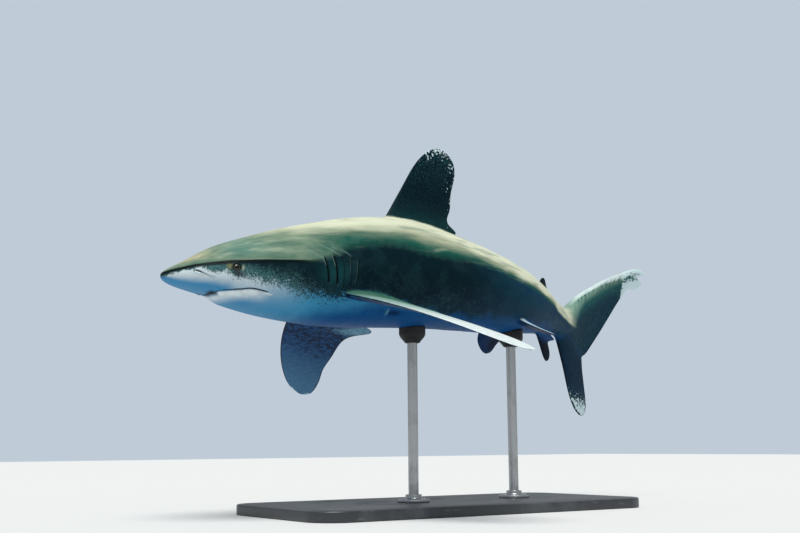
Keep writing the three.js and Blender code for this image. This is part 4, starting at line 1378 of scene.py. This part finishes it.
def makeBase():
    edge, steps, height = standBase["edge"], standBase["edgeSteps"], standBase["height"]
    middle, half = standBase["grooveIn"], standBase["grooveWidth"] / 2
    start, end, floor = middle - half, middle + half, height - standBase["grooveDepth"]
    eased = [(1 - math.sin(pi / 2 * k / steps), 1 - math.cos(pi / 2 * k / steps)) for k in range(steps + 1)]
    # inset from the outline, and height
    profile = [(edge * a, edge * b) for a, b in eased] + [(edge * b, height - edge * a) for a, b in eased]
    aside, down = standBase["grooveEase"]
    flat = standBase["grooveFloor"] / 2
    profile += [(start - aside, height), (start, height - down), (middle - flat, floor)]
    profile += [(middle + flat, floor), (end, height - down), (end + aside, height)]
    profile += [(standBase["innerRing"], height)]
    rings = [outlineRing(inset, up) for inset, up in profile]
    return meshFrom("standBase", *closedRings(rings, (0, 0, 0), (0, 0, height)))


def lathe(profile, centre):  # rings from a profile of radius and height
    angles = 2 * pi * np.arange(standRod["around"]) / standRod["around"]
    x, y = centre[:2]
    return np.array([[(x + r * math.cos(a), y + r * math.sin(a), up) for a in angles] for r, up in profile])


def bellyPlace(along):
    return posed(np.array([along, 0, -float(sectionAt(along)[2])], float))


def bellyHeight(x, y, start):  # height of the underside at a place on the plan
    z = np.full(x.shape, float(start))
    for _ in range(6):
        along, across, up = straightened(np.stack([x, y, z], -1)).T
        half, _, bottom, _, below = sectionAt(along)
        share = np.clip(np.abs(across) / half, 0, 0.999)
        z = z + (-bottom * (1 - share**below) ** (1 / below) - up)
    return z


def makeRod(name, belly):
    high, radius = belly[2] - rodInCup, standRod["radius"]
    cut, topCut = standRod["endCut"], standRod["topCut"]
    heights = np.linspace(rodBottom + topCut, high - topCut, standRod["rings"])
    profile = [(radius - cut, rodBottom), (radius, rodBottom + cut)]
    profile += [*[(radius, z) for z in heights], (radius - topCut, high)]
    rings = lathe(profile, belly)
    return meshFrom(name, *closedRings(rings, (*belly[:2], rodBottom), (*belly[:2], high)))


def loopMesh(name, rings):  # a ring-like solid: the profile is a loop
    return meshFrom(name, rings.reshape(-1, 3), gridFaces(len(rings), rings.shape[1], True))


def rounded(profile, radius=1.0, steps=3):  # eases the corners of a loop of points
    corners, done = np.array(profile, float), []
    for i, here in enumerate(corners):
        ways = [corners[i - 1] - here, corners[(i + 1) % len(corners)] - here]
        lengths = [np.linalg.norm(way) for way in ways]
        reach = min(radius, 0.45 * lengths[0], 0.45 * lengths[1])
        a, b = (here + way / length * reach for way, length in zip(ways, lengths))
        for t in np.arange(steps + 1) / steps:
            done.append(tuple(a * (1 - t) ** 2 + here * 2 * t * (1 - t) + b * t**2))
    return done


def makeCollar(name, belly):
    radius, neck = standCollar["radius"], standCollar["neck"]
    flange, top = rodBottom + standCollar["flange"], rodBottom + standCollar["height"]
    profile = [(rodHole, rodBottom), (radius, rodBottom), (radius, flange)]
    profile += [(neck + standCollar["coneOut"], flange + standCollar["coneHigh"])]
    profile += [(neck, flange + standCollar["neckFrom"]), (neck, top), (rodHole, top)]
    return loopMesh(name, lathe(rounded(profile, standCollar["rounding"]), belly))


def makeCup(name, belly):
    radius, rodTop, rim = standCup["radius"], belly[2] - rodInCup, standCup["rim"]
    low, rimLow, gap = rodTop - standCup["depth"], rodTop - standCup["sideDown"], standCup["gap"]
    outer = []
    steps, foldDepth, foldWidth = (standCup[key] for key in ("sideSteps", "foldDepth", "foldWidth"))
    for t in np.arange(steps + 1) / steps:  # the flared side with two soft folds
        r = rodHole + rim + (radius - rodHole - rim) * (1 - (1 - t) ** standCup["flare"])
        lower, upper = (foldDepth * bump(t - at, foldWidth) for at in standCup["foldsAt"])
        outer.append((r + (-lower - upper), low + gap + (rimLow - low - gap) * t))
    side = [(radius, rimLow + up) for up in (2, 6, 12)]
    bowl = [(radius * share, 0.0) for share in (0.999, 0.97, 0.9, 0.8, 0.65, 0.5, 0.35, 0.2)]
    profile = [(rodHole, low), (rodHole + rim - 1, low), *outer, *side, *bowl]
    profile += [(rodHole * 0.3, rodTop + 0.3), (rodHole, rodTop + 0.3)]
    rings = lathe(profile, belly)
    lastBowl = len(profile) - 2
    firstBowl = lastBowl - len(bowl)
    for i in range(firstBowl - 2, lastBowl):  # the side is shared out up to the contact
        share = min((i - firstBowl + 3) / 3, 1)
        contact = bellyHeight(rings[i, :, 0], rings[i, :, 1], belly[2])
        rings[i, :, 2] = rimLow + 2 + (contact + gap - rimLow - 2) * share
    return loopMesh(name, rings)


screws = {
    "count": 6, "ring": 37, "radius": 4.4, "height": 2.8, "socket": 2.3, "around": 24, "sunk": 0.8,
    "socketFloor": 0.6, "seed": 3,
}


def makeScrewHead():  # low round head with a six-sided socket
    around, radius, height, socket = (screws[key] for key in ("around", "radius", "height", "socket"))
    angles = 2 * pi / around * np.arange(around)
    flats = math.cos(pi / 6) / np.cos(angles % (pi / 3) - pi / 6)
    rings = []
    for r, up in ((radius, 0), (radius, height - 0.9), (radius - 0.7, height - 0.1)):
        rings.append([(r * math.cos(a), r * math.sin(a), up) for a in angles])
    floor = screws["socketFloor"]
    for r, up in ((socket + 0.2, height), (socket, height - 0.2), (socket, floor)):
        rings.append([(r * f * math.cos(a), r * f * math.sin(a), up) for f, a in zip(flats, angles)])
    return meshFrom("screwHead", *closedRings(rings, (0, 0, 0), (0, 0, floor)))


def makeScrewTree():  # sets copies of a screw head in a ring, each turned its own way
    tree = drawing["tree"] = bpy.data.node_groups.new("screwRing", "GeometryNodeTree")
    kinds = {"Head": "Geometry", "Count": "Int", "Ring Radius": "Float", "Seed": "Int"}
    for socketName, kind in {**kinds, "Material": "Material"}.items():
        tree.interface.new_socket(socketName, in_out="INPUT", socket_type="NodeSocket" + kind)
    tree.interface.new_socket("Screws", in_out="OUTPUT", socket_type="NodeSocketGeometry")
    given = {socket.name: Wire(socket) for socket in tree.nodes.new("NodeGroupInput").outputs}
    ring = wire("GeometryNodeMeshCircle", {"Vertices": given["Count"], "Radius": given["Ring Radius"]})
    span = {2: 0.0, 3: pi / 3, "Seed": given["Seed"]}
    turn = wire("ShaderNodeCombineXYZ", {"Z": wire("FunctionNodeRandomValue", span, 1, data_type="FLOAT")})
    placed = {"Points": ring, "Instance": given["Head"], "Rotation": turn}
    real = wire("GeometryNodeRealizeInstances", {0: wire("GeometryNodeInstanceOnPoints", placed)})
    coated = wire("GeometryNodeSetMaterial", {"Geometry": real, "Material": given["Material"]})
    addNode("NodeGroupOutput", {0: coated})
    return tree


def makeScrews(name, belly, head, tree, material):
    maker = addObject(name + "Maker", head)
    modifier = maker.modifiers.new("ring", "NODES")
    modifier.node_group = tree
    values = {"Count": screws["count"], "Ring Radius": screws["ring"] * mm, "Seed": screws["seed"]}
    values["Material"] = material
    for item in tree.interface.items_tree:
        if item.name in values:
            modifier[item.identifier] = values[item.name]
    mesh = bpy.data.meshes.new_from_object(maker.evaluated_get(bpy.context.evaluated_depsgraph_get()))
    bpy.data.objects.remove(maker)
    mesh.name = name
    outer, inner = standCollar["radius"], standCollar["neck"] + standCollar["coneOut"]
    slope = standCollar["coneHigh"] * (outer - screws["ring"]) / (outer - inner)
    height = rodBottom + standCollar["flange"] + slope - screws["sunk"]
    mesh.transform(Matrix.Translation((belly[0] * mm, belly[1] * mm, height * mm)))
    return mesh


def startFinish(name, scale, amount):  # a stand's material, with where it is worn and dusty
    material = startMaterial(name)
    place = wire("ShaderNodeTexCoord", output="Object")
    wear = addNode("ShaderNodeGroup", {"Vector": place, "Scale": scale, "Amount": amount}, node_tree=handled)
    return material, place, Wire(wear.outputs["Dust"]), Wire(wear.outputs["Scuffs"])


def makePaintMaterial():
    material, place, dust, scuffs = startFinish("satinPaint", 9.0, 0.5)
    worn = standBase["wornColour"]
    colour = layered(standBase["colour"], (dust, worn), (scuffs, worn))
    grain = noise(stretched(place, (6, 60, 60)), 3.0, 4, 0.6)
    height = noise(place, 260, 2, 0.5) * 0.3 + grain * 0.35
    more = {"Normal": raised(height, mm, 0.35), "Specular IOR Level": 0.45}
    finishMaterial(colour, fade(dust, 0.0, 0.4, 0.34, 0.5), more)
    return material


def makeSteelMaterial():
    material, place, dust, _ = startFinish("brushedSteel", 24.0, 0.5)
    brushed = noise(stretched(place, (900, 900, 9)), 1.0, 3, 0.6)
    coats = (fade(brushed, 0.3, 0.7, 0, 0.35), standRod["shade"]), (dust, standRod["dust"])
    gloss = fade(brushed, 0.3, 0.7, 0.26, 0.4) + dust * 0.3
    more = {"Metallic": 1.0, "Normal": raised(brushed, 0.02 * mm, 0.6)}
    finishMaterial(layered(standRod["colour"], *coats), gloss, more)
    return material


def makeRubberMaterial():
    material, place, dust, _ = startFinish("mattRubber", 60.0, 0.4)
    more = {"Normal": raised(noise(place, 1400, 2, 0.5), 0.2 * mm, 0.5), "Specular IOR Level": 0.3}
    colour = layered(standCup["colour"], (dust, standCup["dust"]))
    finishMaterial(colour, fade(dust, 0.0, 0.3, 0.62, 0.8), more)
    return material


paint, steel, rubber = makePaintMaterial(), makeSteelMaterial(), makeRubberMaterial()
addPiece(makeBase(), paint, "base_paint", "stand_base")
screwHead, screwTree = makeScrewHead(), makeScrewTree()
for rodName, rodAlong in standRod["alongs"].items():
    title, belly = rodName.title(), bellyPlace(rodAlong)
    addPiece(makeRod("standRod" + title, belly), steel, "steel", "stand_rod_" + rodName)
    addPiece(makeCollar("standCollar" + title, belly), steel, "steel", "stand_collar_" + rodName)
    addPiece(makeScrews("standScrews" + title, belly, screwHead, screwTree, steel), steel, "steel")
    addPiece(makeCup("standCup" + title, belly), rubber, "rubber", "stand_cup_" + rodName)
print("stand in place")

# room, lights and camera
room = {
    "floorHalf": 14, "floorColour": (0.62, 0.63, 0.64, 1), "skyColour": (0.84, 0.92, 1.0),
    "skyStrength": 0.42, "backdrop": (0.52, 0.6, 0.68), "sun": 3.7, "sunAngle": 34,
    "sunColour": (1.0, 0.985, 0.92), "sunFrom": (-0.25, -0.3, 1),
}
half = room["floorHalf"]
corners = [(-half, -half, 0), (half, -half, 0), (half, half, 0), (-half, half, 0)]
floor = addObject("floor", meshFrom("floor", corners, [(0, 1, 2, 3)], 1.0, False))
floor.data.materials.append(startMaterial("floorPaint"))
finishMaterial(room["floorColour"], 0.8, {})

world = bpy.data.worlds.new("studio")
world.use_nodes = True
drawing["tree"] = world.node_tree
skyLight = world.node_tree.nodes["Background"]
skyLight.inputs["Color"].default_value = (*room["skyColour"], 1)
skyLight.inputs["Strength"].default_value = room["skyStrength"]
skySeen = wire("ShaderNodeBackground", {"Color": (*room["backdrop"], 1)})
seen = wire("ShaderNodeLightPath", output="Is Camera Ray")
shownSky = addNode("ShaderNodeMixShader", {0: seen, 1: Wire(skyLight.outputs[0]), 2: skySeen})
world.node_tree.links.new(shownSky.outputs[0], world.node_tree.nodes["World Output"].inputs["Surface"])
scene.world = world

sunData = bpy.data.lights.new("topLight", "SUN")
sunData.energy, sunData.angle, sunData.color = room["sun"], math.radians(room["sunAngle"]), room["sunColour"]
sun = addObject("topLight", sunData)
sun.rotation_mode = "QUATERNION"
sun.rotation_quaternion = Vector(room["sunFrom"]).to_track_quat("Z", "Y")

cameraView = {
    "place": (-2036, -2768, 195), "azimuth": 34.17, "elevation": 9.135, "roll": -0.422, "focus": 1113,
    "sensor": 36, "pictureWidth": 800,
}
azimuth, elevation, roll = (math.radians(cameraView[key]) for key in ("azimuth", "elevation", "roll"))
ahead = math.cos(elevation)
forward = Vector((math.sin(azimuth) * ahead, math.cos(azimuth) * ahead, math.sin(elevation)))
level = Vector((math.cos(azimuth), -math.sin(azimuth), 0))
upright = level.cross(forward)
right = level * math.cos(roll) + upright * math.sin(roll)
top = upright * math.cos(roll) - level * math.sin(roll)
cameraData = bpy.data.cameras.new("camera")
cameraData.sensor_width = cameraView["sensor"]
cameraData.lens = cameraView["sensor"] * cameraView["focus"] / cameraView["pictureWidth"]
cameraData.clip_start, cameraData.clip_end = 0.05, 100
camera = addObject("camera", cameraData)
place = Vector(cameraView["place"]) * mm
camera.matrix_world = Matrix([(right[i], top[i], -forward[i], place[i]) for i in range(3)] + [(0, 0, 0, 1)])
scene.camera = camera
scene.view_settings.view_transform = "Standard"
print("room, light and camera in place")
